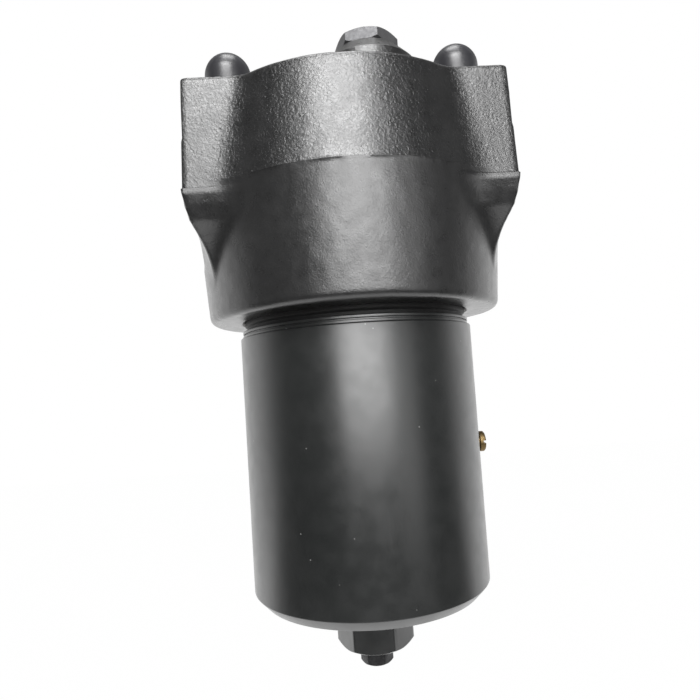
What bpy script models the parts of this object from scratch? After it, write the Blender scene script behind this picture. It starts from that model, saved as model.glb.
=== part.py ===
"""Hydraulic pressure filter: a cast head with two in-line ports and a bowl screwed up into it.

The head hangs from its top face. Oil enters at the +X port, fills the space between the bowl
and the pleated element, passes inwards through the pleats and leaves up the spigot to the
-X port. A spring-loaded poppet in the element's foot lets oil past a blocked element. Screw
plugs close the indicator boss, the bowl's drain and a bleed hole in the bowl's side.

Lengths are in metres, +Z is up, and the origin lies on the filter's axis, level with the
lower end of the drain plug.
"""

import math

import bmesh
import bpy
from mathutils import Matrix, Vector

# Fits and facets
SEAT_GAP = 0.0003
LARGE_STEPS = 48
MEDIUM_STEPS = 32
SMALL_STEPS = 24
CAP_STEPS = 20
TINY_STEPS = 12
HEXAGON_SIDES = 6
FILLET_STEPS = 3
DOME_ARC_STEPS = 6
CORD_SIDES = 6
OVERCUT = 0.002
MARKER_SIZE = 0.02

# Bowl
BOWL_RADIUS = 0.0475
BOWL_WALL = 0.0100
BOWL_BODY_HEIGHT = 0.1044
BOWL_FLOOR = 0.0120
BOWL_FLOOR_FILLET = 0.0060
BOWL_FOOT_CHAMFER_WIDTH = 0.0038
BOWL_FOOT_CHAMFER_HEIGHT = 0.0041
BOWL_SHOULDER_CHAMFER = 0.0004

# Hexagon under the bowl, and the way its faces look
BOWL_HEX_FLATS = 0.0270
BOWL_HEX_HEIGHT = 0.0220
BOWL_HEX_CHAMFER = 0.0010
BOWL_HEX_TURN = math.radians(23.0)

# Neck of the bowl: rings in the gap under the head, thread, and the spigot that seals
NECK_STEP = 0.0020
NECK_GAP_HEIGHT = 0.0061
NECK_RING_DEPTH = 0.0010
NECK_RING_HEIGHT = 0.0011
NECK_GROOVE_DEPTH = 0.0007
NECK_GROOVE_HEIGHT = 0.0005
THREAD_LENGTH = 0.0240
THREAD_RELIEF_HEIGHT = 0.0024
THREAD_RELIEF_DEPTH = 0.0009
THREAD_LEAD = 0.0012
SPIGOT_STEP = 0.0022
SEAL_LAND = 0.0025
SEAL_CORD_RADIUS = 0.0012
BACKUP_RING_HEIGHT = 0.0012

# Drain plug and its washer
DRAIN_FLATS = 0.0115
DRAIN_HEAD_HEIGHT = 0.0060
DRAIN_HEAD_CHAMFER = 0.0008
DRAIN_SHANK_RADIUS = 0.0048
DRAIN_SHANK_LENGTH = 0.0110
DRAIN_WASHER_RIM = 0.0017
DRAIN_WASHER_HEIGHT = 0.0009
DRAIN_HOLE_RADIUS = 0.0036

# Bleed screw in the side of the bowl
BLEED_RISE = 0.0560
BLEED_SHANK_RADIUS = 0.0027
BLEED_SHANK_LENGTH = 0.0075
BLEED_HEAD_RIM = 0.0015
BLEED_HEAD_HEIGHT = 0.0024
BLEED_WASHER_HEIGHT = 0.0007
BLEED_SPOT_DEPTH = 0.0002
BLEED_SLOT_WIDTH = 0.0011
BLEED_SLOT_DEPTH = 0.0011

# Head casting
HEAD_WALL = 0.0132
HEAD_LOWER_DRAFT = 0.0035
HEAD_UPPER_DRAFT = 0.0040
HEAD_FOOT_FILLET = 0.0028
HEAD_TOP_ROUND = 0.0020
BORE_CHAMFER = 0.0010
BORE_RUN_OUT = 0.0015
CHAMBER_STEP = 0.0006
CHAMBER_HEIGHT = 0.0095
CHAMBER_ROOF = 0.0058
PORT_ROOF = 0.0034
PARTING_DROP = 0.01945

# Port bosses and the machined port faces
BOSS_WIDTH = 0.0940
BOSS_DRAFT = 0.0010
BOSS_CORNER = 0.0008
BOSS_LEDGE = 0.0004
BOSS_LEDGE_DROP = 0.0024
BOSS_SKIRT_HEIGHT = 0.0079
BOSS_SKIRT_DRAFT = 0.0008
BOSS_FLARE_RUN = 0.0115
BOSS_FLARE_SIDE_RUN = 0.0215
BOSS_FLARE_HEIGHT = 0.0250
BOSS_FLARE_ROUND = 0.0022
FACE_INSET = 0.0008
FACE_ALLOWANCE = 0.0014
FACE_MARGIN = 0.0010

# Ports and passages
PORT_BORE_RADIUS = 0.01515
PORT_BORE_DEPTH = 0.0200
PORT_MOUTH_CHAMFER = 0.0018
PASSAGE_RADIUS = 0.0120
INLET_DROP_RADIUS = 0.0110
INLET_DROP_CLEARANCE = 0.0010

# Spigot that carries the element
OUTLET_BORE_RADIUS = 0.0125
SPIGOT_WALL = 0.0055
SPIGOT_LENGTH = 0.0160
SPIGOT_END_GAP = 0.0020

# Indicator boss on top of the head, its plug and its seal
INDICATOR_OFFSET = 0.0131
INDICATOR_BOSS_RADIUS = 0.0210
INDICATOR_BOSS_HEIGHT = 0.0235
INDICATOR_CONE_HEIGHT = 0.0070
INDICATOR_FACE_RADIUS = 0.0143
INDICATOR_FLATS = 0.0240
INDICATOR_HEAD_HEIGHT = 0.0061
INDICATOR_HEAD_CHAMFER = 0.0003
INDICATOR_TURN = math.radians(-44.8)
INDICATOR_BORE_RADIUS = 0.0092
INDICATOR_BORE_DEPTH = 0.0150
INDICATOR_SHANK_LENGTH = 0.0110
INDICATOR_SEAL_CORD_RADIUS = 0.0007
SENSE_OFFSET = 0.0072
SENSE_RADIUS = 0.0014
SENSE_END_MARGIN = 0.0020

# Bracket holes in the head's top face, closed by domed caps
BRACKET_HOLE_RADIUS = 0.0051
BRACKET_HOLE_DEPTH = 0.0160
BRACKET_INSET_X = 0.0165
BRACKET_INSET_Y = 0.0160
CAP_RADIUS = 0.0086
CAP_SKIRT = 0.0063
CAP_STEM_LENGTH = 0.0080

# Filter element
ELEMENT_ANNULUS = 0.0045
ELEMENT_FLOOR_GAP = 0.0105
END_CAP_SHEET = 0.0020
END_CAP_RIM = 0.0010
END_CAP_RIM_HEIGHT = 0.0060
COLLAR_WALL = 0.0042
COLLAR_HEIGHT = 0.0120
COLLAR_CORD_RADIUS = 0.00115
COLLAR_LAND = 0.0040
CORE_RADIUS = 0.0180
CORE_WALL = 0.0010
CORE_HOLE_RADIUS = 0.0026
CORE_HOLE_PITCH = 0.0125
CORE_HOLE_DIAMETERS_ACROSS = 2
PLEAT_COUNT = 40
PLEAT_SHEET = 0.0007
PLEAT_TIP_SHARE = 0.14

# Bypass valve in the foot of the element
CAGE_WALL = 0.0010
CAGE_HEIGHT = 0.0270
CAGE_TOP = 0.0015
CAGE_WINDOW_WIDTH = 0.0150
CAGE_WINDOW_MARGIN = 0.0045
POPPET_SIDE_GAP = 0.0022
POPPET_SEAT_WIDTH = 0.0025
POPPET_HEIGHT = 0.0020
POPPET_STEM_RADIUS = 0.0025
POPPET_STEM_REACH = 0.0050
SPRING_COIL_RADIUS = 0.0080
SPRING_WIRE_RADIUS = 0.0007
SPRING_ACTIVE_TURNS = 4
SPRING_END_TURNS = 1
SPRING_POINTS_PER_TURN = 14

# Heights worked out from the stack of pieces, from the drain plug upwards
DRAIN_STACK = DRAIN_HEAD_HEIGHT + SEAT_GAP + DRAIN_WASHER_HEIGHT + SEAT_GAP
BOWL_BASE = DRAIN_STACK + BOWL_HEX_HEIGHT
BOWL_SHOULDER = BOWL_BASE + BOWL_BODY_HEIGHT
HEAD_BASE = BOWL_SHOULDER + NECK_GAP_HEIGHT
THREAD_TOP = HEAD_BASE + THREAD_LENGTH
GROOVE_BASE = THREAD_TOP + SEAL_LAND
SEAL_GROOVE_HEIGHT = 2 * SEAL_CORD_RADIUS + BACKUP_RING_HEIGHT + 3 * SEAT_GAP
GROOVE_TOP = GROOVE_BASE + SEAL_GROOVE_HEIGHT
BOWL_MOUTH = GROOVE_TOP + SEAL_LAND
CHAMBER_FLOOR = BOWL_MOUTH + BORE_RUN_OUT
CHAMBER_CEILING = CHAMBER_FLOOR + CHAMBER_HEIGHT
PORT_HEIGHT = CHAMBER_CEILING + CHAMBER_ROOF + PORT_BORE_RADIUS
HEAD_TOP = PORT_HEIGHT + PORT_BORE_RADIUS + PORT_ROOF
PARTING_HEIGHT = PORT_HEIGHT - PARTING_DROP
INDICATOR_FACE = HEAD_TOP + INDICATOR_BOSS_HEIGHT + INDICATOR_CONE_HEIGHT
SPIGOT_END = CHAMBER_CEILING - SPIGOT_LENGTH
BOWL_INSIDE_FLOOR = BOWL_BASE + BOWL_FLOOR
ELEMENT_BASE = BOWL_INSIDE_FLOOR + ELEMENT_FLOOR_GAP
ELEMENT_TOP = SPIGOT_END - SPIGOT_END_GAP

# Radii worked out from their mating pieces
BOWL_INSIDE_RADIUS = BOWL_RADIUS - BOWL_WALL
NECK_THREAD_RADIUS = BOWL_RADIUS - NECK_STEP
BOWL_SPIGOT_RADIUS = NECK_THREAD_RADIUS - SPIGOT_STEP
SEAL_GROOVE_RADIUS = BOWL_SPIGOT_RADIUS - 2 * SEAL_CORD_RADIUS - SEAT_GAP
HEAD_BORE_RADIUS = NECK_THREAD_RADIUS + SEAT_GAP
SEAL_BORE_RADIUS = BOWL_SPIGOT_RADIUS + SEAT_GAP
CHAMBER_RADIUS = SEAL_BORE_RADIUS + CHAMBER_STEP
HEAD_BASE_RADIUS = HEAD_BORE_RADIUS + HEAD_WALL
HEAD_PARTING_RADIUS = HEAD_BASE_RADIUS + HEAD_LOWER_DRAFT
PORT_FACE = HEAD_BASE_RADIUS - FACE_INSET
BOSS_REACH = PORT_FACE + FACE_ALLOWANCE
FACE_RADIUS = BOSS_WIDTH / 2 - FACE_MARGIN
SPIGOT_RADIUS = OUTLET_BORE_RADIUS + SPIGOT_WALL
ELEMENT_RADIUS = BOWL_INSIDE_RADIUS - ELEMENT_ANNULUS
CORE_INSIDE_RADIUS = CORE_RADIUS - CORE_WALL
CAGE_RADIUS = CORE_INSIDE_RADIUS - SEAT_GAP
CAGE_INSIDE_RADIUS = CAGE_RADIUS - CAGE_WALL
POPPET_RADIUS = CAGE_INSIDE_RADIUS - POPPET_SIDE_GAP
BYPASS_SEAT_RADIUS = POPPET_RADIUS - POPPET_SEAT_WIDTH

# Colours as red, green and blue, with roughness and metallic
FINISHES = {
    "cast_black_paint": ((0.045, 0.045, 0.047), 0.42, 0.0),
    "satin_black_paint": ((0.022, 0.024, 0.025), 0.38, 0.0),
    "blackened_steel": ((0.060, 0.060, 0.064), 0.40, 0.6),
    "cap_black": ((0.030, 0.030, 0.033), 0.25, 0.0),
    "brass": ((0.62, 0.44, 0.18), 0.35, 1.0),
    "bright_steel": ((0.60, 0.60, 0.62), 0.35, 1.0),
    "seal_rubber": ((0.015, 0.015, 0.015), 0.60, 0.0),
    "backup_white": ((0.80, 0.79, 0.75), 0.50, 0.0),
    "pleated_media": ((0.83, 0.81, 0.74), 0.85, 0.0),
}


def clear_scene():
    """Remove whatever objects the open file holds."""
    for obj in list(bpy.data.objects):
        bpy.data.objects.remove(obj, do_unlink=True)


def new_collection(name):
    collection = bpy.data.collections.new(name)
    bpy.context.scene.collection.children.link(collection)
    return collection


def material(finish):
    """The named finish as a Principled material, made once and shared."""
    found = bpy.data.materials.get(finish)
    if found:
        return found
    colour, roughness, metallic = FINISHES[finish]
    made = bpy.data.materials.new(finish)
    made.use_nodes = True
    shader = made.node_tree.nodes["Principled BSDF"]
    shader.inputs["Base Color"].default_value = (*colour, 1.0)
    shader.inputs["Roughness"].default_value = roughness
    shader.inputs["Metallic"].default_value = metallic
    made.diffuse_color = (*colour, 1.0)
    return made


def place(obj, collection, finish=None, location=(0, 0, 0), rotation=(0, 0, 0), parent=None):
    """Link an object, give it its finish and set it where it belongs."""
    collection.objects.link(obj)
    obj.location = location
    obj.rotation_euler = rotation
    if finish:
        obj.data.materials.append(material(finish))
    if parent:
        obj.parent = parent
        obj.matrix_parent_inverse = Matrix.Translation(-parent.location)
    return obj


def as_cutter(obj):
    """Show an object as a wire tool that isn't part of the filter."""
    obj.display_type = "WIRE"
    obj.hide_render = True
    return obj


def arc(centre, radius, start, end, steps=FILLET_STEPS):
    """Points of an arc in the (r, z) plane, with angles in degrees from +r towards +z."""
    points = []
    for step in range(steps + 1):
        angle = math.radians(start + (end - start) * step / steps)
        points.append((centre[0] + radius * math.cos(angle), centre[1] + radius * math.sin(angle)))
    return points


def turned(name, outline, steps=LARGE_STEPS, closed=False):
    """A solid of revolution: the (r, z) outline runs down the outer side and turns about Z."""
    mesh = bpy.data.meshes.new(name)
    points = [(radius, 0.0, height) for radius, height in outline]
    edges = [(index, index + 1) for index in range(len(points) - 1)]
    if closed:
        edges.append((len(points) - 1, 0))
    mesh.from_pydata(points, edges, [])
    obj = bpy.data.objects.new(name, mesh)
    screw = obj.modifiers.new("turn", "SCREW")
    screw.axis = "Z"
    screw.angle = 2 * math.pi
    screw.steps = steps
    screw.render_steps = steps
    screw.use_merge_vertices = True
    screw.merge_threshold = 0.00001
    screw.use_smooth_shade = True
    return obj


def ring(name, inner, outer, base, top, steps=LARGE_STEPS):
    """A turned ring of rectangular section."""
    outline = [(inner, top), (outer, top), (outer, base), (inner, base)]
    return turned(name, outline, steps, closed=True)


def sealing_ring(name, cord_centre, cord_radius, steps):
    """An O-ring about Z, at height 0."""
    bpy.ops.mesh.primitive_torus_add(
        major_segments=steps,
        minor_segments=CORD_SIDES,
        major_radius=cord_centre,
        minor_radius=cord_radius,
    )
    obj = bpy.context.object
    for collection in list(obj.users_collection):
        collection.objects.unlink(obj)
    obj.name = name
    obj.data.name = name
    obj.data.shade_smooth()
    return obj


def prism(name, radius, base, top, sides, radius_top=None):
    """A cylinder, cone or polygon bar about Z between two heights."""
    mesh = bpy.data.meshes.new(name)
    bm = bmesh.new()
    bmesh.ops.create_cone(
        bm,
        cap_ends=True,
        segments=sides,
        radius1=radius,
        radius2=radius if radius_top is None else radius_top,
        depth=top - base,
        matrix=Matrix.Translation((0, 0, (base + top) / 2)),
    )
    for face in bm.faces:
        face.smooth = sides > HEXAGON_SIDES and len(face.verts) == 4
    bm.to_mesh(mesh)
    bm.free()
    return bpy.data.objects.new(name, mesh)


def box(name, low, high):
    """A block between two corners."""
    mesh = bpy.data.meshes.new(name)
    bm = bmesh.new()
    low = Vector(low)
    high = Vector(high)
    size = Matrix.Diagonal((*(high - low), 1.0))
    bmesh.ops.create_cube(bm, size=1.0, matrix=Matrix.Translation((low + high) / 2) @ size)
    bm.to_mesh(mesh)
    bm.free()
    return bpy.data.objects.new(name, mesh)


def combine(obj, tool, operation):
    """Add an exact Boolean of the tool to the object."""
    boolean = obj.modifiers.new(tool.name, "BOOLEAN")
    boolean.operation = operation
    boolean.solver = "EXACT"
    boolean.object = as_cutter(tool)
    return boolean


def weigh_normals(obj):
    """Let the large faces set the smooth shading, so that turned edges stay crisp."""
    weighted = obj.modifiers.new("shading", "WEIGHTED_NORMAL")
    weighted.mode = "FACE_AREA"
    weighted.weight = 100
    return weighted


def chamfered_hexagon(name, flats, base, top, turn, chamfer_low, chamfer_high, tools):
    """A hexagon bar whose corners are turned off at its ends, as a spanner hexagon is."""
    apothem = flats / 2
    corner = apothem / math.cos(math.pi / HEXAGON_SIDES)
    bar = prism(name, corner, base, top, HEXAGON_SIDES)
    bar.data.transform(Matrix.Rotation(turn, 4, "Z"))
    drop = (corner - apothem) * math.tan(math.radians(30))
    outline = [(0, top)]
    if chamfer_high:
        outline += [(apothem - chamfer_high, top), (corner + OVERCUT / 10, top - drop - chamfer_high)]
    else:
        outline += [(corner + OVERCUT, top)]
    if chamfer_low:
        outline += [(corner + OVERCUT / 10, base + drop + chamfer_low), (apothem - chamfer_low, base)]
    else:
        outline += [(corner + OVERCUT, base)]
    outline += [(0, base)]
    lathe = place(turned(name + "_lathe", outline, MEDIUM_STEPS), tools)
    combine(bar, lathe, "INTERSECT")
    return bar


def rounded_rectangle(half_x, half_y, radius, steps=FILLET_STEPS):
    """Corner points of a rectangle with round corners, anticlockwise."""
    points = []
    for sign_x, sign_y, start in ((1, 1, 0), (-1, 1, 90), (-1, -1, 180), (1, -1, 270)):
        centre = (sign_x * (half_x - radius), sign_y * (half_y - radius))
        points += arc(centre, radius, start, start + 90, steps)
    return points


def drafted_block(name, outline, base, stages):
    """Extrude an outline upwards through stages of (height, x scale, y scale)."""
    mesh = bpy.data.meshes.new(name)
    bm = bmesh.new()
    face = bm.faces.new([bm.verts.new((x, y, base)) for x, y in outline])
    bm.normal_update()
    height = base
    scale_x = scale_y = 1.0
    for next_height, next_x, next_y in stages:
        raised = bmesh.ops.extrude_face_region(bm, geom=[face])["geom"]
        verts = [item for item in raised if isinstance(item, bmesh.types.BMVert)]
        if height > base:
            bmesh.ops.delete(bm, geom=[face], context="FACES_ONLY")
        face = next(item for item in raised if isinstance(item, bmesh.types.BMFace))
        bmesh.ops.translate(bm, verts=verts, vec=(0, 0, next_height - height))
        bmesh.ops.scale(bm, verts=verts, vec=(next_x / scale_x, next_y / scale_y, 1.0))
        height, scale_x, scale_y = next_height, next_x, next_y
    bmesh.ops.recalc_face_normals(bm, faces=bm.faces)
    bm.to_mesh(mesh)
    bm.free()
    return bpy.data.objects.new(name, mesh)


def top_rounding():
    """Pairs of height and inset that round the casting's top edge and end above the milled face."""
    centre = (0, HEAD_TOP - HEAD_TOP_ROUND)
    points = arc(centre, HEAD_TOP_ROUND, 0, 90)
    pairs = [(height, HEAD_TOP_ROUND - reach) for reach, height in points[:-1]]
    last_inset = pairs[-1][1]
    return pairs + [(HEAD_TOP + OVERCUT, last_inset)]


def head_outline():
    """Outer skin of the head's round body: cone above the parting line, drafted drum below."""
    top_radius = HEAD_PARTING_RADIUS - HEAD_UPPER_DRAFT
    lower_slope = HEAD_LOWER_DRAFT / (PARTING_HEIGHT - HEAD_BASE)
    fillet_top = HEAD_BASE_RADIUS + lower_slope * HEAD_FOOT_FILLET
    fillet_centre = (fillet_top - HEAD_FOOT_FILLET, HEAD_BASE + HEAD_FOOT_FILLET)
    outline = [(top_radius - inset, height) for height, inset in reversed(top_rounding())]
    outline = [(0, HEAD_TOP + OVERCUT)] + outline + [(HEAD_PARTING_RADIUS, PARTING_HEIGHT)]
    outline += arc(fillet_centre, HEAD_FOOT_FILLET, 0, -90)
    outline += [(0, HEAD_BASE)]
    return outline


def head_cavity_outline():
    """What is bored out of the head from below, which leaves the spigot standing inside."""
    return [
        (0, PORT_HEIGHT + OVERCUT),
        (OUTLET_BORE_RADIUS, PORT_HEIGHT + OVERCUT),
        (OUTLET_BORE_RADIUS, SPIGOT_END),
        (SPIGOT_RADIUS, SPIGOT_END),
        (SPIGOT_RADIUS, CHAMBER_CEILING),
        (CHAMBER_RADIUS, CHAMBER_CEILING),
        (CHAMBER_RADIUS, CHAMBER_FLOOR),
        (SEAL_BORE_RADIUS, CHAMBER_FLOOR),
        (SEAL_BORE_RADIUS, THREAD_TOP + BORE_RUN_OUT),
        (HEAD_BORE_RADIUS, THREAD_TOP + SEAT_GAP),
        (HEAD_BORE_RADIUS, HEAD_BASE + BORE_CHAMFER),
        (HEAD_BORE_RADIUS + BORE_CHAMFER + OVERCUT, HEAD_BASE - OVERCUT),
        (0, HEAD_BASE - OVERCUT),
    ]


def port_bosses():
    """One drafted block across the head that leaves a square boss round each port.

    From below: the flare that grows out of the round body, the drag half's skirt, a small ledge
    where the cope half steps in, and the cope half's drafted sides with their rounded top edge.
    """
    half_width = BOSS_WIDTH / 2
    low_x = BOSS_REACH - BOSS_SKIRT_DRAFT - BOSS_FLARE_RUN
    low_y = half_width - BOSS_SKIRT_DRAFT - BOSS_FLARE_SIDE_RUN
    ledge_height = PARTING_HEIGHT - BOSS_LEDGE_DROP
    skirt_base = ledge_height - BOSS_SKIRT_HEIGHT
    bend_share = BOSS_FLARE_ROUND / BOSS_FLARE_HEIGHT
    bend_x = BOSS_SKIRT_DRAFT + BOSS_FLARE_RUN * bend_share
    bend_y = BOSS_SKIRT_DRAFT + BOSS_FLARE_SIDE_RUN * bend_share
    top_inset = BOSS_LEDGE + BOSS_DRAFT
    levels = [
        (skirt_base - BOSS_FLARE_ROUND, bend_x, bend_y),
        (skirt_base + BOSS_FLARE_ROUND, BOSS_SKIRT_DRAFT, BOSS_SKIRT_DRAFT),
        (ledge_height, 0, 0),
        (ledge_height + BOSS_LEDGE, BOSS_LEDGE, BOSS_LEDGE),
    ]
    levels += [(height, top_inset + inset, top_inset + inset) for height, inset in top_rounding()]
    stages = [
        (height, (BOSS_REACH - inset_x) / low_x, (half_width - inset_y) / low_y)
        for height, inset_x, inset_y in levels
    ]
    outline = rounded_rectangle(low_x, low_y, BOSS_CORNER)
    return drafted_block("port_bosses", outline, skirt_base - BOSS_FLARE_HEIGHT, stages)


def port_tool(name, inner_end):
    """Port bore with its mouth chamfer and the passage behind it, about Z, mouth upwards."""
    reach = PORT_FACE + OVERCUT
    outline = [
        (0, reach),
        (PORT_BORE_RADIUS + PORT_MOUTH_CHAMFER + OVERCUT, reach),
        (PORT_BORE_RADIUS, PORT_FACE - PORT_MOUTH_CHAMFER),
        (PORT_BORE_RADIUS, PORT_FACE - PORT_BORE_DEPTH),
        (PASSAGE_RADIUS, PORT_FACE - PORT_BORE_DEPTH),
        (PASSAGE_RADIUS, inner_end),
        (0, inner_end),
    ]
    return turned(name, outline, SMALL_STEPS)


def bracket_positions():
    """The four bracket holes, two on each port boss."""
    along = BOSS_REACH - BRACKET_INSET_X
    across = BOSS_WIDTH / 2 - BRACKET_INSET_Y
    return [(sign_x * along, sign_y * across) for sign_x in (-1, 1) for sign_y in (-1, 1)]


def build_head(parts, tools):
    head = place(turned("filter_head", head_outline()), parts, "cast_black_paint")
    combine(head, place(port_bosses(), tools), "UNION")
    mill_reach = 2 * HEAD_PARTING_RADIUS
    mill_low = (-mill_reach, -mill_reach, HEAD_TOP)
    mill_high = (mill_reach, mill_reach, HEAD_TOP + 2 * OVERCUT)
    combine(head, place(box("top_mill", mill_low, mill_high), tools), "DIFFERENCE")

    boss_cone = [
        (0, INDICATOR_FACE),
        (INDICATOR_FACE_RADIUS, INDICATOR_FACE),
        (INDICATOR_BOSS_RADIUS, INDICATOR_FACE - INDICATOR_CONE_HEIGHT),
        (INDICATOR_BOSS_RADIUS, HEAD_TOP - OVERCUT),
        (0, HEAD_TOP - OVERCUT),
    ]
    at_indicator = (INDICATOR_OFFSET, 0, 0)
    boss = place(turned("indicator_boss", boss_cone, MEDIUM_STEPS), tools, location=at_indicator)
    combine(head, boss, "UNION")

    cavity = place(turned("head_cavity", head_cavity_outline()), tools)
    combine(head, cavity, "DIFFERENCE")

    faces = (
        ("inlet", 1, INDICATOR_OFFSET + SENSE_OFFSET - SENSE_END_MARGIN),
        ("outlet", -1, -INDICATOR_OFFSET + SENSE_OFFSET - SENSE_END_MARGIN),
    )
    for side, sign, inner_end in faces:
        turn = (0, sign * math.pi / 2, 0)
        centre = (0, 0, PORT_HEIGHT)
        facing_end = BOSS_REACH + HEAD_LOWER_DRAFT + OVERCUT
        facing = prism(side + "_facing", FACE_RADIUS, PORT_FACE, facing_end, LARGE_STEPS)
        combine(head, place(facing, tools, location=centre, rotation=turn), "DIFFERENCE")
        bore = port_tool(side + "_bore", inner_end)
        combine(head, place(bore, tools, location=centre, rotation=turn), "DIFFERENCE")

    drop = prism(
        "inlet_drop",
        INLET_DROP_RADIUS,
        CHAMBER_CEILING - OVERCUT,
        PORT_HEIGHT + OVERCUT,
        SMALL_STEPS,
    )
    drop_x = SPIGOT_RADIUS + INLET_DROP_RADIUS + INLET_DROP_CLEARANCE
    combine(head, place(drop, tools, location=(drop_x, 0, 0)), "DIFFERENCE")

    seal_recess = INDICATOR_FACE - 2 * INDICATOR_SEAL_CORD_RADIUS - SEAT_GAP
    recess_radius = INDICATOR_BORE_RADIUS + 2 * INDICATOR_SEAL_CORD_RADIUS
    bore_outline = [
        (0, INDICATOR_FACE + OVERCUT),
        (recess_radius, INDICATOR_FACE + OVERCUT),
        (recess_radius, seal_recess),
        (INDICATOR_BORE_RADIUS, seal_recess),
        (INDICATOR_BORE_RADIUS, INDICATOR_FACE - INDICATOR_BORE_DEPTH),
        (0, INDICATOR_FACE - INDICATOR_BORE_DEPTH),
    ]
    bore = turned("indicator_bore", bore_outline, SMALL_STEPS)
    combine(head, place(bore, tools, location=at_indicator), "DIFFERENCE")
    for side, sign in (("inlet", 1), ("outlet", -1)):
        sense = prism(
            side + "_sense",
            SENSE_RADIUS,
            PORT_HEIGHT,
            INDICATOR_FACE - INDICATOR_BORE_DEPTH + OVERCUT,
            TINY_STEPS,
        )
        at_sense = (INDICATOR_OFFSET + sign * SENSE_OFFSET, 0, 0)
        combine(head, place(sense, tools, location=at_sense), "DIFFERENCE")

    for index, (x, y) in enumerate(bracket_positions(), 1):
        name = "bracket_hole_" + str(index)
        hole_base = HEAD_TOP - BRACKET_HOLE_DEPTH
        hole = prism(name, BRACKET_HOLE_RADIUS, hole_base, HEAD_TOP + OVERCUT, CAP_STEPS)
        combine(head, place(hole, tools, location=(x, y, 0)), "DIFFERENCE")
    return head


def build_bracket_caps(parts):
    """Domed caps whose stems fill the bracket holes."""
    dome_centre = (0, CAP_SKIRT)
    outline = [(0, CAP_SKIRT + CAP_RADIUS)]
    outline += arc(dome_centre, CAP_RADIUS, 90, 0, DOME_ARC_STEPS)[1:]
    outline += [
        (CAP_RADIUS, 0),
        (BRACKET_HOLE_RADIUS - SEAT_GAP, 0),
        (BRACKET_HOLE_RADIUS - SEAT_GAP, -CAP_STEM_LENGTH),
        (0, -CAP_STEM_LENGTH),
    ]
    for index, (x, y) in enumerate(bracket_positions(), 1):
        cap = turned("bracket_hole_cap_" + str(index), outline, CAP_STEPS)
        place(cap, parts, "cap_black", location=(x, y, HEAD_TOP + SEAT_GAP))


def build_indicator_plug(parts, tools):
    """Hexagon plug in the indicator boss, with the O-ring under its head."""
    seat = INDICATOR_FACE + SEAT_GAP
    location = (INDICATOR_OFFSET, 0, seat)
    plug = chamfered_hexagon(
        "indicator_plug",
        INDICATOR_FLATS,
        0,
        INDICATOR_HEAD_HEIGHT,
        INDICATOR_TURN,
        0,
        INDICATOR_HEAD_CHAMFER,
        tools,
    )
    tools.objects["indicator_plug_lathe"].location = location
    shank_radius = INDICATOR_BORE_RADIUS - SEAT_GAP
    shank = prism(
        "indicator_shank",
        shank_radius,
        -INDICATOR_SHANK_LENGTH,
        INDICATOR_HEAD_HEIGHT / 2,
        SMALL_STEPS,
    )
    combine(plug, place(shank, tools, location=location), "UNION")
    place(plug, parts, "blackened_steel", location=location)

    cord = INDICATOR_SEAL_CORD_RADIUS
    seal = sealing_ring("indicator_plug_seal", shank_radius + SEAT_GAP + cord, cord, SMALL_STEPS)
    place(seal, parts, "seal_rubber", location=(INDICATOR_OFFSET, 0, INDICATOR_FACE - cord))


def bowl_outline():
    """Inside of the bowl from its floor up, over the mouth, and down the outer side."""
    floor_centre = (BOWL_INSIDE_RADIUS - BOWL_FLOOR_FILLET, BOWL_FLOOR + BOWL_FLOOR_FILLET)
    base = BOWL_BASE
    relief_radius = NECK_THREAD_RADIUS - THREAD_RELIEF_DEPTH
    ring_radius = NECK_THREAD_RADIUS + NECK_RING_DEPTH
    groove_radius = ring_radius - NECK_GROOVE_DEPTH
    ring_top = BOWL_SHOULDER + 2 * NECK_RING_HEIGHT + NECK_GROOVE_HEIGHT
    outline = [(0, BOWL_FLOOR)]
    outline += arc(floor_centre, BOWL_FLOOR_FILLET, -90, 0)
    outline += [
        (BOWL_INSIDE_RADIUS, BOWL_MOUTH - base),
        (BOWL_SPIGOT_RADIUS - THREAD_LEAD / 2, BOWL_MOUTH - base),
        (BOWL_SPIGOT_RADIUS, BOWL_MOUTH - THREAD_LEAD - base),
        (BOWL_SPIGOT_RADIUS, GROOVE_TOP - base),
        (SEAL_GROOVE_RADIUS, GROOVE_TOP - base),
        (SEAL_GROOVE_RADIUS, GROOVE_BASE - base),
        (BOWL_SPIGOT_RADIUS, GROOVE_BASE - base),
        (BOWL_SPIGOT_RADIUS, THREAD_TOP - base),
        (NECK_THREAD_RADIUS, THREAD_TOP - THREAD_LEAD - base),
        (NECK_THREAD_RADIUS, ring_top + THREAD_RELIEF_HEIGHT - base),
        (relief_radius, ring_top + THREAD_RELIEF_HEIGHT - THREAD_RELIEF_DEPTH - base),
        (relief_radius, ring_top - base),
        (ring_radius, ring_top - base),
        (ring_radius, ring_top - NECK_RING_HEIGHT - base),
        (groove_radius, ring_top - NECK_RING_HEIGHT - base),
        (groove_radius, BOWL_SHOULDER + NECK_RING_HEIGHT - base),
        (ring_radius, BOWL_SHOULDER + NECK_RING_HEIGHT - base),
        (ring_radius, BOWL_SHOULDER - base),
        (BOWL_RADIUS - BOWL_SHOULDER_CHAMFER, BOWL_SHOULDER - base),
        (BOWL_RADIUS, BOWL_BODY_HEIGHT - BOWL_SHOULDER_CHAMFER),
        (BOWL_RADIUS, BOWL_FOOT_CHAMFER_HEIGHT),
        (BOWL_RADIUS - BOWL_FOOT_CHAMFER_WIDTH, 0),
        (0, 0),
    ]
    return outline


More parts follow.
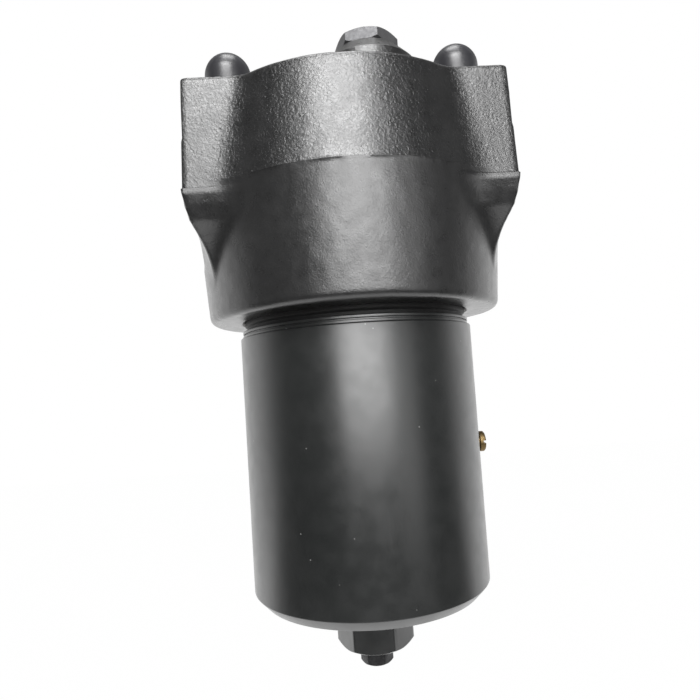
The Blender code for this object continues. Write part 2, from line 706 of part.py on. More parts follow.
def build_bowl(parts, tools, axis_empty):
    location = (0, 0, BOWL_BASE)
    bowl = turned("filter_bowl", bowl_outline())
    place(bowl, parts, "satin_black_paint", location=location, parent=axis_empty)

    hexagon = chamfered_hexagon(
        "bowl_hexagon",
        BOWL_HEX_FLATS,
        -BOWL_HEX_HEIGHT,
        OVERCUT,
        BOWL_HEX_TURN,
        BOWL_HEX_CHAMFER,
        0,
        tools,
    )
    tools.objects["bowl_hexagon_lathe"].location = location
    combine(bowl, place(hexagon, tools, location=location), "UNION")

    plug_end = DRAIN_SHANK_LENGTH + OVERCUT - BOWL_HEX_HEIGHT
    plug_hole = DRAIN_SHANK_RADIUS + SEAT_GAP
    drain_outline = [
        (0, BOWL_FLOOR + OVERCUT),
        (DRAIN_HOLE_RADIUS, BOWL_FLOOR + OVERCUT),
        (DRAIN_HOLE_RADIUS, plug_end),
        (plug_hole, plug_end),
        (plug_hole, -BOWL_HEX_HEIGHT - OVERCUT),
        (0, -BOWL_HEX_HEIGHT - OVERCUT),
    ]
    drain = place(turned("drain_hole", drain_outline, SMALL_STEPS), tools, location=location)
    combine(bowl, drain, "DIFFERENCE")

    spot_plane = BOWL_RADIUS - BLEED_SPOT_DEPTH
    bleed_hole = BLEED_SHANK_RADIUS + SEAT_GAP
    spot_radius = BLEED_SHANK_RADIUS + BLEED_HEAD_RIM + 2 * SEAT_GAP
    bleed_outline = [
        (0, spot_plane + OVERCUT),
        (spot_radius, spot_plane + OVERCUT),
        (spot_radius, spot_plane),
        (bleed_hole, spot_plane),
        (bleed_hole, BOWL_INSIDE_RADIUS - OVERCUT),
        (0, BOWL_INSIDE_RADIUS - OVERCUT),
    ]
    bleed = turned("bleed_hole", bleed_outline, SMALL_STEPS)
    at_bleed = (0, 0, BOWL_BASE + BLEED_RISE)
    place(bleed, tools, location=at_bleed, rotation=(0, math.pi / 2, 0))
    combine(bowl, bleed, "DIFFERENCE")
    return bowl


def build_bowl_seals(parts, axis_empty):
    """O-ring and back-up ring in the groove of the bowl's spigot."""
    cord_centre = BOWL_SPIGOT_RADIUS - SEAL_CORD_RADIUS
    o_ring = sealing_ring("bowl_o_ring", cord_centre, SEAL_CORD_RADIUS, LARGE_STEPS)
    o_ring_height = GROOVE_TOP - SEAT_GAP - SEAL_CORD_RADIUS
    place(o_ring, parts, "seal_rubber", location=(0, 0, o_ring_height), parent=axis_empty)
    backup = ring(
        "bowl_backup_ring",
        BOWL_SPIGOT_RADIUS - 2 * SEAL_CORD_RADIUS,
        BOWL_SPIGOT_RADIUS,
        0,
        BACKUP_RING_HEIGHT,
    )
    backup_height = GROOVE_BASE + SEAT_GAP
    place(backup, parts, "backup_white", location=(0, 0, backup_height), parent=axis_empty)


def build_drain_plug(parts, tools, axis_empty):
    """Small hexagon plug and washer in the end of the bowl's hexagon."""
    plug = chamfered_hexagon(
        "drain_plug",
        DRAIN_FLATS,
        0,
        DRAIN_HEAD_HEIGHT,
        BOWL_HEX_TURN,
        DRAIN_HEAD_CHAMFER,
        0,
        tools,
    )
    seat = DRAIN_HEAD_HEIGHT + 2 * SEAT_GAP + DRAIN_WASHER_HEIGHT
    shank_top = seat + DRAIN_SHANK_LENGTH
    shank = prism("drain_shank", DRAIN_SHANK_RADIUS, DRAIN_HEAD_HEIGHT / 2, shank_top, SMALL_STEPS)
    combine(plug, place(shank, tools), "UNION")
    place(plug, parts, "blackened_steel", parent=axis_empty)
    washer = ring(
        "drain_plug_washer",
        DRAIN_SHANK_RADIUS + SEAT_GAP,
        DRAIN_SHANK_RADIUS + DRAIN_WASHER_RIM,
        0,
        DRAIN_WASHER_HEIGHT,
        SMALL_STEPS,
    )
    washer_height = DRAIN_HEAD_HEIGHT + SEAT_GAP
    place(washer, parts, "bright_steel", location=(0, 0, washer_height), parent=axis_empty)


def build_bleed_screw(parts, tools, axis_empty):
    """Slotted brass screw and washer in the side of the bowl, at +X."""
    sideways = (0, math.pi / 2, 0)
    washer_base = BOWL_RADIUS - BLEED_SPOT_DEPTH + SEAT_GAP
    head_base = washer_base + BLEED_WASHER_HEIGHT + SEAT_GAP
    height = BOWL_BASE + BLEED_RISE
    head_radius = BLEED_SHANK_RADIUS + BLEED_HEAD_RIM
    edge = BLEED_HEAD_RIM / 3
    outline = [
        (0, BLEED_HEAD_HEIGHT),
        (head_radius - edge, BLEED_HEAD_HEIGHT),
        (head_radius, BLEED_HEAD_HEIGHT - edge),
        (head_radius, 0),
        (BLEED_SHANK_RADIUS, 0),
        (BLEED_SHANK_RADIUS, -BLEED_SHANK_LENGTH),
        (0, -BLEED_SHANK_LENGTH),
    ]
    screw = turned("bleed_screw", outline, SMALL_STEPS)
    screw_at = (head_base, 0, height)
    place(screw, parts, "brass", location=screw_at, rotation=sideways, parent=axis_empty)
    half_slot = BLEED_SLOT_WIDTH / 2
    slot_low = (-half_slot, -2 * head_radius, BLEED_HEAD_HEIGHT - BLEED_SLOT_DEPTH)
    slot_high = (half_slot, 2 * head_radius, BLEED_HEAD_HEIGHT + OVERCUT)
    slot = place(box("bleed_slot", slot_low, slot_high), tools, location=screw_at, rotation=sideways)
    combine(screw, slot, "DIFFERENCE")
    washer = ring(
        "bleed_screw_washer",
        BLEED_SHANK_RADIUS + SEAT_GAP,
        head_radius,
        0,
        BLEED_WASHER_HEIGHT,
        SMALL_STEPS,
    )
    washer_at = (washer_base, 0, height)
    place(washer, parts, "brass", location=washer_at, rotation=sideways, parent=axis_empty)


def build_end_caps(parts):
    """Pressed end caps of the element, the upper one with the collar that grips the spigot."""
    rim_inside = ELEMENT_RADIUS - END_CAP_RIM
    collar_inside = SPIGOT_RADIUS + SEAT_GAP
    collar_outside = collar_inside + COLLAR_WALL
    groove_radius = collar_inside + 2 * COLLAR_CORD_RADIUS + SEAT_GAP
    groove_base = END_CAP_SHEET + COLLAR_LAND
    groove_top = groove_base + 2 * COLLAR_CORD_RADIUS + 2 * SEAT_GAP
    collar_top = END_CAP_SHEET + COLLAR_HEIGHT
    top_outline = [
        (OUTLET_BORE_RADIUS, END_CAP_SHEET),
        (collar_inside, END_CAP_SHEET),
        (collar_inside, groove_base),
        (groove_radius, groove_base),
        (groove_radius, groove_top),
        (collar_inside, groove_top),
        (collar_inside, collar_top),
        (collar_outside, collar_top),
        (collar_outside, END_CAP_SHEET),
        (ELEMENT_RADIUS, END_CAP_SHEET),
        (ELEMENT_RADIUS, -END_CAP_RIM_HEIGHT),
        (rim_inside, -END_CAP_RIM_HEIGHT),
        (rim_inside, 0),
        (OUTLET_BORE_RADIUS, 0),
    ]
    top_cap = turned("element_top_cap", top_outline, MEDIUM_STEPS, closed=True)
    top_base = ELEMENT_TOP - END_CAP_SHEET
    place(top_cap, parts, "bright_steel", location=(0, 0, top_base))
    o_ring = sealing_ring(
        "element_o_ring",
        collar_inside + COLLAR_CORD_RADIUS,
        COLLAR_CORD_RADIUS,
        MEDIUM_STEPS,
    )
    o_ring_height = top_base + (groove_base + groove_top) / 2
    place(o_ring, parts, "seal_rubber", location=(0, 0, o_ring_height))

    foot_outline = [
        (BYPASS_SEAT_RADIUS, END_CAP_SHEET),
        (rim_inside, END_CAP_SHEET),
        (rim_inside, END_CAP_SHEET + END_CAP_RIM_HEIGHT),
        (ELEMENT_RADIUS, END_CAP_SHEET + END_CAP_RIM_HEIGHT),
        (ELEMENT_RADIUS, 0),
        (BYPASS_SEAT_RADIUS, 0),
    ]
    foot_cap = turned("element_bottom_cap", foot_outline, MEDIUM_STEPS, closed=True)
    place(foot_cap, parts, "bright_steel", location=(0, 0, ELEMENT_BASE))


def element_span():
    """Lower and upper end of what stands between the two end caps."""
    low = ELEMENT_BASE + END_CAP_SHEET + SEAT_GAP
    high = ELEMENT_TOP - END_CAP_SHEET - SEAT_GAP
    return low, high


def build_core(parts, tools):
    """Perforated tube that the pleats bear on."""
    low, high = element_span()
    length = high - low
    core = ring("element_core", CORE_INSIDE_RADIUS, CORE_RADIUS, 0, length, MEDIUM_STEPS)
    place(core, parts, "bright_steel", location=(0, 0, low))
    rows = max(1, int((length - CORE_HOLE_PITCH) / CORE_HOLE_PITCH))
    first = (length - (rows - 1) * CORE_HOLE_PITCH) / 2
    half_facet = math.pi / MEDIUM_STEPS
    for row in range(rows):
        for across in range(CORE_HOLE_DIAMETERS_ACROSS):
            name = "core_hole_" + str(row) + "_" + str(across)
            reach = CORE_RADIUS + OVERCUT
            drill = prism(name, CORE_HOLE_RADIUS, -reach, reach, HEXAGON_SIDES)
            stagger = 0.5 * (row % 2)
            angle = half_facet + math.pi * (across + stagger) / CORE_HOLE_DIAMETERS_ACROSS
            at_row = (0, 0, low + first + row * CORE_HOLE_PITCH)
            place(drill, tools, location=at_row, rotation=(math.pi / 2, 0, angle))
            combine(core, drill, "DIFFERENCE")


def build_pleats(parts):
    """One folded sheet that runs in and out between the core and the caps' rims."""
    low, high = element_span()
    inner = CORE_RADIUS + SEAT_GAP + PLEAT_SHEET / 2
    outer = ELEMENT_RADIUS - END_CAP_RIM - SEAT_GAP - PLEAT_SHEET / 2
    pitch = 2 * math.pi / PLEAT_COUNT
    tip = pitch * PLEAT_TIP_SHARE
    mesh = bpy.data.meshes.new("element_media")
    bm = bmesh.new()
    loop = []
    for pleat in range(PLEAT_COUNT):
        for radius, centre in ((inner, 0.0), (outer, 0.5)):
            for side in (-1, 1):
                angle = pitch * (pleat + centre) + side * tip / 2
                loop.append(bm.verts.new((radius * math.cos(angle), radius * math.sin(angle), 0.0)))
    edges = [bm.edges.new((loop[index - 1], loop[index])) for index in range(len(loop))]
    raised = bmesh.ops.extrude_edge_only(bm, edges=edges)["geom"]
    upper = [item for item in raised if isinstance(item, bmesh.types.BMVert)]
    bmesh.ops.translate(bm, verts=upper, vec=(0, 0, high - low))
    bmesh.ops.recalc_face_normals(bm, faces=bm.faces)
    bm.to_mesh(mesh)
    bm.free()
    media = bpy.data.objects.new("element_media", mesh)
    solidify = media.modifiers.new("sheet", "SOLIDIFY")
    solidify.thickness = PLEAT_SHEET
    solidify.offset = 0.0
    solidify.use_even_offset = True
    place(media, parts, "pleated_media", location=(0, 0, low))


def build_bypass_valve(parts, tools):
    """Cage, poppet and spring that stand on the element's bottom cap."""
    low, _ = element_span()
    cage_outline = [
        (POPPET_STEM_RADIUS + SEAT_GAP, CAGE_HEIGHT),
        (CAGE_RADIUS, CAGE_HEIGHT),
        (CAGE_RADIUS, 0),
        (CAGE_INSIDE_RADIUS, 0),
        (CAGE_INSIDE_RADIUS, CAGE_HEIGHT - CAGE_TOP),
        (POPPET_STEM_RADIUS + SEAT_GAP, CAGE_HEIGHT - CAGE_TOP),
    ]
    cage = turned("bypass_cage", cage_outline, MEDIUM_STEPS, closed=True)
    place(cage, parts, "bright_steel", location=(0, 0, low))
    for index in range(2):
        reach = CAGE_RADIUS + OVERCUT
        half = CAGE_WINDOW_WIDTH / 2
        window_low = (-reach, -half, CAGE_WINDOW_MARGIN)
        window_high = (reach, half, CAGE_HEIGHT - CAGE_WINDOW_MARGIN)
        window = box("cage_window_" + str(index), window_low, window_high)
        place(window, tools, location=(0, 0, low), rotation=(0, 0, index * math.pi / 2))
        combine(cage, window, "DIFFERENCE")

    stem_top = CAGE_HEIGHT + POPPET_STEM_REACH
    poppet_outline = [
        (0, stem_top),
        (POPPET_STEM_RADIUS, stem_top),
        (POPPET_STEM_RADIUS, POPPET_HEIGHT),
        (POPPET_RADIUS, POPPET_HEIGHT),
        (POPPET_RADIUS, 0),
        (0, 0),
    ]
    poppet = turned("bypass_poppet", poppet_outline, SMALL_STEPS)
    place(poppet, parts, "blackened_steel", location=(0, 0, low))

    base = low + POPPET_HEIGHT + SEAT_GAP + SPRING_WIRE_RADIUS
    top = low + CAGE_HEIGHT - CAGE_TOP - SEAT_GAP - SPRING_WIRE_RADIUS
    build_spring("bypass_spring", base, top, parts)


def spring_height(turn, turns, span):
    """Height of the wire after some turns: the end turns lie close, the rest share the span."""
    close_pitch = 2 * SPRING_WIRE_RADIUS + SEAT_GAP
    active_pitch = (span - 2 * SPRING_END_TURNS * close_pitch) / SPRING_ACTIVE_TURNS
    into_active = min(max(turn - SPRING_END_TURNS, 0), SPRING_ACTIVE_TURNS)
    into_ends = min(turn, SPRING_END_TURNS) + max(turn - (turns - SPRING_END_TURNS), 0)
    return into_ends * close_pitch + into_active * active_pitch


def build_spring(name, base, top, parts):
    """Round-wire compression spring with closed ends."""
    curve = bpy.data.curves.new(name, "CURVE")
    curve.dimensions = "3D"
    curve.bevel_depth = SPRING_WIRE_RADIUS
    curve.bevel_resolution = 1
    curve.use_fill_caps = True
    turns = SPRING_ACTIVE_TURNS + 2 * SPRING_END_TURNS
    count = turns * SPRING_POINTS_PER_TURN + 1
    spline = curve.splines.new("POLY")
    spline.points.add(count - 1)
    for index in range(count):
        turn = index / SPRING_POINTS_PER_TURN
        angle = 2 * math.pi * turn
        x = SPRING_COIL_RADIUS * math.cos(angle)
        y = SPRING_COIL_RADIUS * math.sin(angle)
        spline.points[index].co = (x, y, spring_height(turn, turns, top - base), 1.0)
    spring = bpy.data.objects.new(name, curve)
    place(spring, parts, "bright_steel", location=(0, 0, base))


def axis_marker(name, parts, location):
    """An empty on a joint's axis that carries the pieces which turn or slide there."""
    marker = bpy.data.objects.new(name, None)
    marker.empty_display_size = MARKER_SIZE
    parts.objects.link(marker)
    marker.location = location
    return marker


def main():
    clear_scene()
    parts = new_collection("hydraulic_pressure_filter")
    tools = new_collection("cutters")
    bowl_axis = axis_marker("bowl_axis", parts, (0, 0, HEAD_BASE))
    build_head(parts, tools)
    build_bracket_caps(parts)
    build_indicator_plug(parts, tools)
    build_bowl(parts, tools, bowl_axis)
    build_bowl_seals(parts, bowl_axis)
    build_drain_plug(parts, tools, bowl_axis)
    build_bleed_screw(parts, tools, bowl_axis)
    build_end_caps(parts)
    build_core(parts, tools)
    build_pleats(parts)
    build_bypass_valve(parts, tools)
    for piece in parts.objects:
        if piece.type == "MESH":
            weigh_normals(piece)


main()
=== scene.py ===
"""Looks of a hydraulic pressure filter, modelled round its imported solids.

The filter hangs from its cast head. Each sub-assembly is a class that models its pieces in
metres, in the frame of the solids, and puts them on the body that carries them. Finishes are
procedural and read the pieces' own coordinates.
"""

import logging
import math
from dataclasses import dataclass
from enum import Enum
from typing import Optional, Sequence

import bmesh
import bpy
from mathutils import Matrix, Vector, noise


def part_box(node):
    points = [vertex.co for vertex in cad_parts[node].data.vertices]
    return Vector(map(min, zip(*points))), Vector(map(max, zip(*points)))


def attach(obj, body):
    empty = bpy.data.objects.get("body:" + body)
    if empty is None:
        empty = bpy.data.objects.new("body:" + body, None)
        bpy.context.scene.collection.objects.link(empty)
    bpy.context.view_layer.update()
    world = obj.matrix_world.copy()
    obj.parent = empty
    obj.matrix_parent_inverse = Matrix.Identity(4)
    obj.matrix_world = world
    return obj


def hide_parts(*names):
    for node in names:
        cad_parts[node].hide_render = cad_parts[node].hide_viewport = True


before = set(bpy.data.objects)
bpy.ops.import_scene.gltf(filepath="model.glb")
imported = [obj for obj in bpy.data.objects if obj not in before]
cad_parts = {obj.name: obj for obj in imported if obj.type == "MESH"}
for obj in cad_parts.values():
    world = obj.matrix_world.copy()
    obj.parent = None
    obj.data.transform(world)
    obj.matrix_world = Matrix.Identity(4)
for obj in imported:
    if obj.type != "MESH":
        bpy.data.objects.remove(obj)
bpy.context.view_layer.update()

LOG = logging.getLogger("pressure_filter")
FULL_TURN = 2.0 * math.pi
HEXAGON_SIDES = 6
SEAT_GAP = 0.0003
OVERCUT = 0.002
FINE_BLEND = 0.0001
EDGE_BLEND = 0.0002
SOFT_BLEND = 0.0006
DOME_STEPS = 16
CORD_SIDES = 16
FLAT_SHARE = 0.12
BLEND_LIMIT = 0.48
FLAT_NORMAL = 0.99
UPRIGHT = 0.9
CHAMFER_SLOPE = math.tan(math.radians(30.0))
CORNER_ANGLE = math.radians(50.0)
FLAT_ANGLE = math.radians(1.0)
PATCH_SPAN = (0.3, 0.7)
SMOOTH_ANGLE = math.radians(32.0)
NODE_SPACING = 220


class Body(str, Enum):
    """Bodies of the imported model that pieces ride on."""

    HEAD = "head"
    BOWL_SEALS = "bowl_seals"
    BOWL = "bowl"
    DRAIN_WASHER = "drain_washer"
    DRAIN_PLUG = "drain_plug"
    BLEED_WASHER = "bleed_washer"
    BLEED_SCREW = "bleed_screw"
    INDICATOR_SEAL = "indicator_seal"
    INDICATOR_PLUG = "indicator_plug"
    BYPASS_POPPET = "bypass_poppet"


class Slot(str, Enum):
    """Material slots of the record."""

    CAST_PAINT = "cast_black_paint"
    SATIN_PAINT = "satin_black_paint"
    BLACK_STEEL = "blackened_steel"
    CAP = "cap_black"
    BRASS = "brass"
    BRIGHT_STEEL = "bright_steel"
    RUBBER = "seal_rubber"
    BACKUP = "backup_white"
    MEDIA = "pleated_media"


class Operation(str, Enum):
    """What a tool does to a piece."""

    CUT = "DIFFERENCE"
    JOIN = "UNION"
    KEEP = "INTERSECT"


class Flank(Enum):
    """Which way a thread's grooves go from the surface that they start from."""

    INTO_SHAFT = -1
    INTO_WALL = 1


@dataclass(frozen=True)
class Corner:
    """A corner of a turned outline, rounded by an arc where blend is above zero."""

    radius: float
    height: float
    blend: float = 0.0


@dataclass(frozen=True)
class Thread:
    """A screw thread on a turned surface about Z."""

    foot: float
    top: float
    radius: float
    pitch: float
    depth: float
    flank: Flank
    rings_per_turn: int = 6
    run_out_turns: float = 0.8

    def depth_at(self, angle: float, height: float) -> float:
        """How deep the groove is at a place on the surface.

        Args:
            angle: Angle about Z, in radians.
            height: Height along Z.

        Returns:
            The groove's depth there, from zero on the crest to the full depth.
        """
        turn = height / self.pitch - angle / FULL_TURN
        wave = abs(2.0 * (turn - math.floor(turn)) - 1.0)
        shape = min(1.0, max(0.0, (wave - FLAT_SHARE) / (1.0 - 2.0 * FLAT_SHARE)))
        run_out = self.run_out_turns * self.pitch
        ends = min(height - self.foot, self.top - height) / run_out
        return self.depth * shape * min(1.0, max(0.0, ends))

    def rings(self) -> list[float]:
        """Heights of the rings that the surface needs for the thread.

        Returns:
            The heights, from the top down.
        """
        count = max(2, round((self.top - self.foot) / self.pitch * self.rings_per_turn))
        step = (self.top - self.foot) / count
        return [self.top - index * step for index in range(count + 1)]


def rounded(corners: Sequence[Corner], arc_steps: int = 3) -> list[tuple[float, float]]:
    """Outline points with an arc in place of each corner that has a blend.

    Args:
        corners: Corners in order.
        arc_steps: Straight stretches in each arc.

    Returns:
        The (radius, height) points.
    """
    points: list[tuple[float, float]] = []
    for index, corner in enumerate(corners):
        here = Vector((corner.radius, corner.height))
        if corner.blend <= 0.0 or index in (0, len(corners) - 1):
            points.append((here.x, here.y))
            continue
        before = Vector((corners[index - 1].radius, corners[index - 1].height)) - here
        after = Vector((corners[index + 1].radius, corners[index + 1].height)) - here
        half = before.angle(after) / 2.0
        shorter = min(BLEND_LIMIT * before.length, BLEND_LIMIT * after.length)
        reach = min(corner.blend / math.tan(half), shorter)
        start = before.normalized() * reach
        end = after.normalized() * reach
        centre = (start + end).normalized() * (reach / math.cos(half))
        sweep = (start - centre).angle_signed(end - centre)
        for step in range(arc_steps + 1):
            spoke = (start - centre).copy()
            spoke.rotate(Matrix.Rotation(-sweep * step / arc_steps, 2))
            place = here + centre + spoke
            points.append((place.x, place.y))
    return points


def placed(x: float = 0.0, y: float = 0.0, z: float = 0.0, quarters: int = 0) -> Matrix:
    """A move to a place, after quarter turns about Y."""
    return Matrix.Translation((x, y, z)) @ Matrix.Rotation(quarters * math.pi / 2.0, 4, "Y")


class Piece:
    """A mesh on the bench: started from a shape, worked, and then shown on its body."""

    def __init__(self, name: str, finish: Optional[bpy.types.Material] = None) -> None:
        """Start an empty piece with one finish.

        Args:
            name: Name of the piece.
            finish: Material of its faces.
        """
        self.name = name
        self.bm = bmesh.new()
        self.finishes = [finish] if finish else []

    def turn(
        self,
        corners: Sequence[Corner],
        steps: int = 96,
        closed: bool = False,
        threads: Sequence[Thread] = (),
        arc_steps: int = 3,
        spacing: float = 0.0,
    ) -> "Piece":
        """Turn an outline about Z and cut its threads.

        Args:
            corners: Outline, down the outer side, closed by itself or between two axis points.
            steps: Flats round the turn.
            closed: Whether the last corner joins the first.
            threads: Threads on upright stretches of the outline.
            arc_steps: Straight stretches in each rounded corner.
            spacing: Longest step between rings, or zero where only the corners need them.

        Returns:
            The same piece.
        """
        if closed:
            first, last = corners[0], corners[-1]
            middle = Corner((first.radius + last.radius) / 2.0, (first.height + last.height) / 2.0)
            corners = [middle, *corners, middle]
        points = rounded(corners, arc_steps)
        for thread in threads:
            points = thread_points(points, thread)
        if spacing:
            points = ringed(points, spacing)
        if closed:
            points.pop()
        verts = [self.bm.verts.new((radius, 0.0, height)) for radius, height in points]
        edges = [self.bm.edges.new(pair) for pair in zip(verts, verts[1:])]
        if closed:
            edges.append(self.bm.edges.new((verts[-1], verts[0])))
        self.spin(verts + edges, steps)
        for thread in threads:
            self.cut_thread(thread)
        return self

    def bar(self, radius: float, base: float, top: float, sides: int, turn: float = 0.0) -> "Piece":
        """Add a round or many-sided bar about Z.

        Args:
            radius: Radius at its corners.
            base: Height of its lower end.
            top: Height of its upper end.
            sides: Number of sides.
            turn: Angle that it is turned by.

        Returns:
            The same piece.
        """
        place = Matrix.Translation((0.0, 0.0, (base + top) / 2.0)) @ Matrix.Rotation(turn, 4, "Z")
        bmesh.ops.create_cone(
            self.bm,
            cap_ends=True,
            segments=sides,
            radius1=radius,
            radius2=radius,
            depth=top - base,
            matrix=place,
        )
        return self

    def block(self, low: Sequence[float], high: Sequence[float]) -> "Piece":
        """Add a block between two corners.

        Args:
            low: Lowest corner.
            high: Highest corner.

        Returns:
            The same piece.
        """
        first, last = Vector(low), Vector(high)
        size = Matrix.Diagonal((*(last - first), 1.0))
        middle = Matrix.Translation((first + last) / 2.0)
        bmesh.ops.create_cube(self.bm, size=1.0, matrix=middle @ size)
        return self

    def cord_ring(self, centre: float, cord: float, height: float, steps: int = 96) -> "Piece":
        """Turn an O-ring about Z.

        Args:
            centre: Radius of the cord's centre line.
            cord: Radius of the cord.
            height: Height of the centre line.
            steps: Stretches round the ring.

        Returns:
            The same piece.
        """
        upright = Matrix.Rotation(math.pi / 2.0, 4, "X")
        place = Matrix.Translation((centre, 0.0, height)) @ upright
        bmesh.ops.create_circle(self.bm, segments=CORD_SIDES, radius=cord, matrix=place)
        return self.spin([*self.bm.verts, *self.bm.edges], steps)

    def washer(
        self,
        radii: tuple[float, float],
        heights: tuple[float, float],
        steps: int = 64,
        rim_blend: float = FINE_BLEND,
    ) -> "Piece":
        """Turn a flat ring about Z with softened edges.

        Args:
            radii: Inner and outer radius.
            heights: Lower and upper height.
            steps: Flats round the turn.
            rim_blend: Rounding of the outer edges.

        Returns:
            The same piece.
        """
        (inner, outer), (low, high) = radii, heights
        corners = (
            Corner(inner, high, FINE_BLEND),
            Corner(outer, high, rim_blend),
            Corner(outer, low, rim_blend),
            Corner(inner, low, FINE_BLEND),
        )
        return self.turn(corners, steps, closed=True)

    def spin(self, outline: Sequence[object], steps: int) -> "Piece":
        """Sweep an outline once round Z, merge doubled points and turn the faces outwards.

        Args:
            outline: Its points and edges.
            steps: Stretches round the turn.

        Returns:
            The same piece.
        """
        bmesh.ops.spin(
            self.bm,
            geom=outline,
            cent=(0.0, 0.0, 0.0),
            axis=(0.0, 0.0, 1.0),
            angle=FULL_TURN,
            steps=steps,
            use_merge=True,
        )
        bmesh.ops.remove_doubles(self.bm, verts=self.bm.verts, dist=1e-6)
        bmesh.ops.recalc_face_normals(self.bm, faces=self.bm.faces)
        return self

    def cut_thread(self, thread: Thread) -> "Piece":
        """Sink a thread's grooves into the rings that were turned for it.

        Args:
            thread: The thread.

        Returns:
            The same piece.
        """
        reach = 1e-5
        for vert in self.bm.verts:
            radius = math.hypot(vert.co.x, vert.co.y)
            if abs(radius - thread.radius) > reach or not thread.foot < vert.co.z < thread.top:
                continue
            angle = math.atan2(vert.co.y, vert.co.x)
            sunk = radius + thread.flank.value * thread.depth_at(angle, vert.co.z)
            vert.co.x *= sunk / radius
            vert.co.y *= sunk / radius
        return self

    def move(self, matrix: Matrix) -> "Piece":
        """Move or turn the whole piece.

        Args:
            matrix: The move.

        Returns:
            The same piece.
        """
        bmesh.ops.transform(self.bm, matrix=matrix, verts=self.bm.verts)
        return self

    def as_object(self) -> bpy.types.Object:
        """Put the mesh into an object at the origin, with its finishes.

        Returns:
            The object.
        """
        mesh = bpy.data.meshes.new(self.name)
        self.bm.to_mesh(mesh)
        for finish in self.finishes:
            mesh.materials.append(finish)
        made = bpy.data.objects.new(self.name, mesh)
        bpy.context.scene.collection.objects.link(made)
        return made

    def take(self, made: bpy.types.Object) -> "Piece":
        """Read back an object that this piece became, with its modifiers applied.

        Args:
            made: The object, which is removed.

        Returns:
            The same piece.
        """
        depsgraph = bpy.context.evaluated_depsgraph_get()
        mesh = bpy.data.meshes.new_from_object(made.evaluated_get(depsgraph))
        self.bm.free()
        self.bm = bmesh.new()
        self.bm.from_mesh(mesh)
        self.finishes = [finish for finish in mesh.materials if finish]
        old = made.data
        bpy.data.objects.remove(made)
        bpy.data.meshes.remove(old)
        bpy.data.meshes.remove(mesh)
        return self

    def combine(self, tool: "Piece", operation: Operation) -> "Piece":
        """Cut this piece by a tool, join the two, or keep what they share.

        Args:
            tool: The other piece, which is used up.
            operation: What the tool does.

        Returns:
            The same piece.
        """
        target = self.as_object()
        other = tool.as_object()
        boolean = target.modifiers.new("work", "BOOLEAN")
        boolean.operation = operation.value
        boolean.solver = "MANIFOLD"
        boolean.material_mode = "TRANSFER"
        boolean.object = other
        self.take(target)
        old = other.data
        bpy.data.objects.remove(other)
        bpy.data.meshes.remove(old)
        tool.bm.free()
        return self

    def show(self, body: Body, slot: Slot, *nodes: str) -> bpy.types.Object:
        """Put the finished piece on its body in place of the nodes it stands for.

        Args:
            body: The body that carries it.
            slot: Not used.
            nodes: Nodes of the solids that it replaces.

        Returns:
            The object.
        """
        made = self.as_object()
        made.data.shade_smooth()
        made.data.set_sharp_from_angle(angle=SMOOTH_ANGLE)
        self.bm.free()
        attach(made, body.value)
        if nodes:
            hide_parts(*nodes)
        made.data.calc_loop_triangles()
        LOG.info("%s: %d triangles on %s", made.name, len(made.data.loop_triangles), body.value)
        return made


def ringed(points: Sequence[tuple[float, float]], spacing: float) -> list[tuple[float, float]]:
    """Split an outline's long stretches that aren't flat, so that the turned skin can be worked.

    Args:
        points: The outline's points.
        spacing: Greatest rise that is left in one stretch.

    Returns:
        The outline with the added points.
    """
    made: list[tuple[float, float]] = []
    for (radius, height), (next_radius, next_height) in zip(points, points[1:]):
        count = max(1, math.ceil(abs(next_height - height) / spacing))
        for share in (index / count for index in range(count)):
            ring = radius + (next_radius - radius) * share
            made.append((ring, height + (next_height - height) * share))
    made.append(points[-1])
    return made


def thread_points(points: Sequence[tuple[float, float]], thread: Thread) -> list[tuple[float, float]]:
    """Add a thread's rings to the upright stretch of an outline that carries it.

    Args:
        points: The outline's points.
        thread: The thread.

    Returns:
        The outline with the rings in place, in the outline's own direction.
    """
    made: list[tuple[float, float]] = []
    for start, end in zip(points, points[1:]):
        made.append(start)
        upright = abs(start[0] - thread.radius) < 1e-6 and abs(end[0] - thread.radius) < 1e-6
        low, high = min(start[1], end[1]), max(start[1], end[1])
        if upright and low <= thread.foot and thread.top <= high:
            heights = thread.rings()
            if end[1] > start[1]:
                heights.reverse()
            made.extend((thread.radius, height) for height in heights if low < height < high)
    made.append(points[-1])
    return made


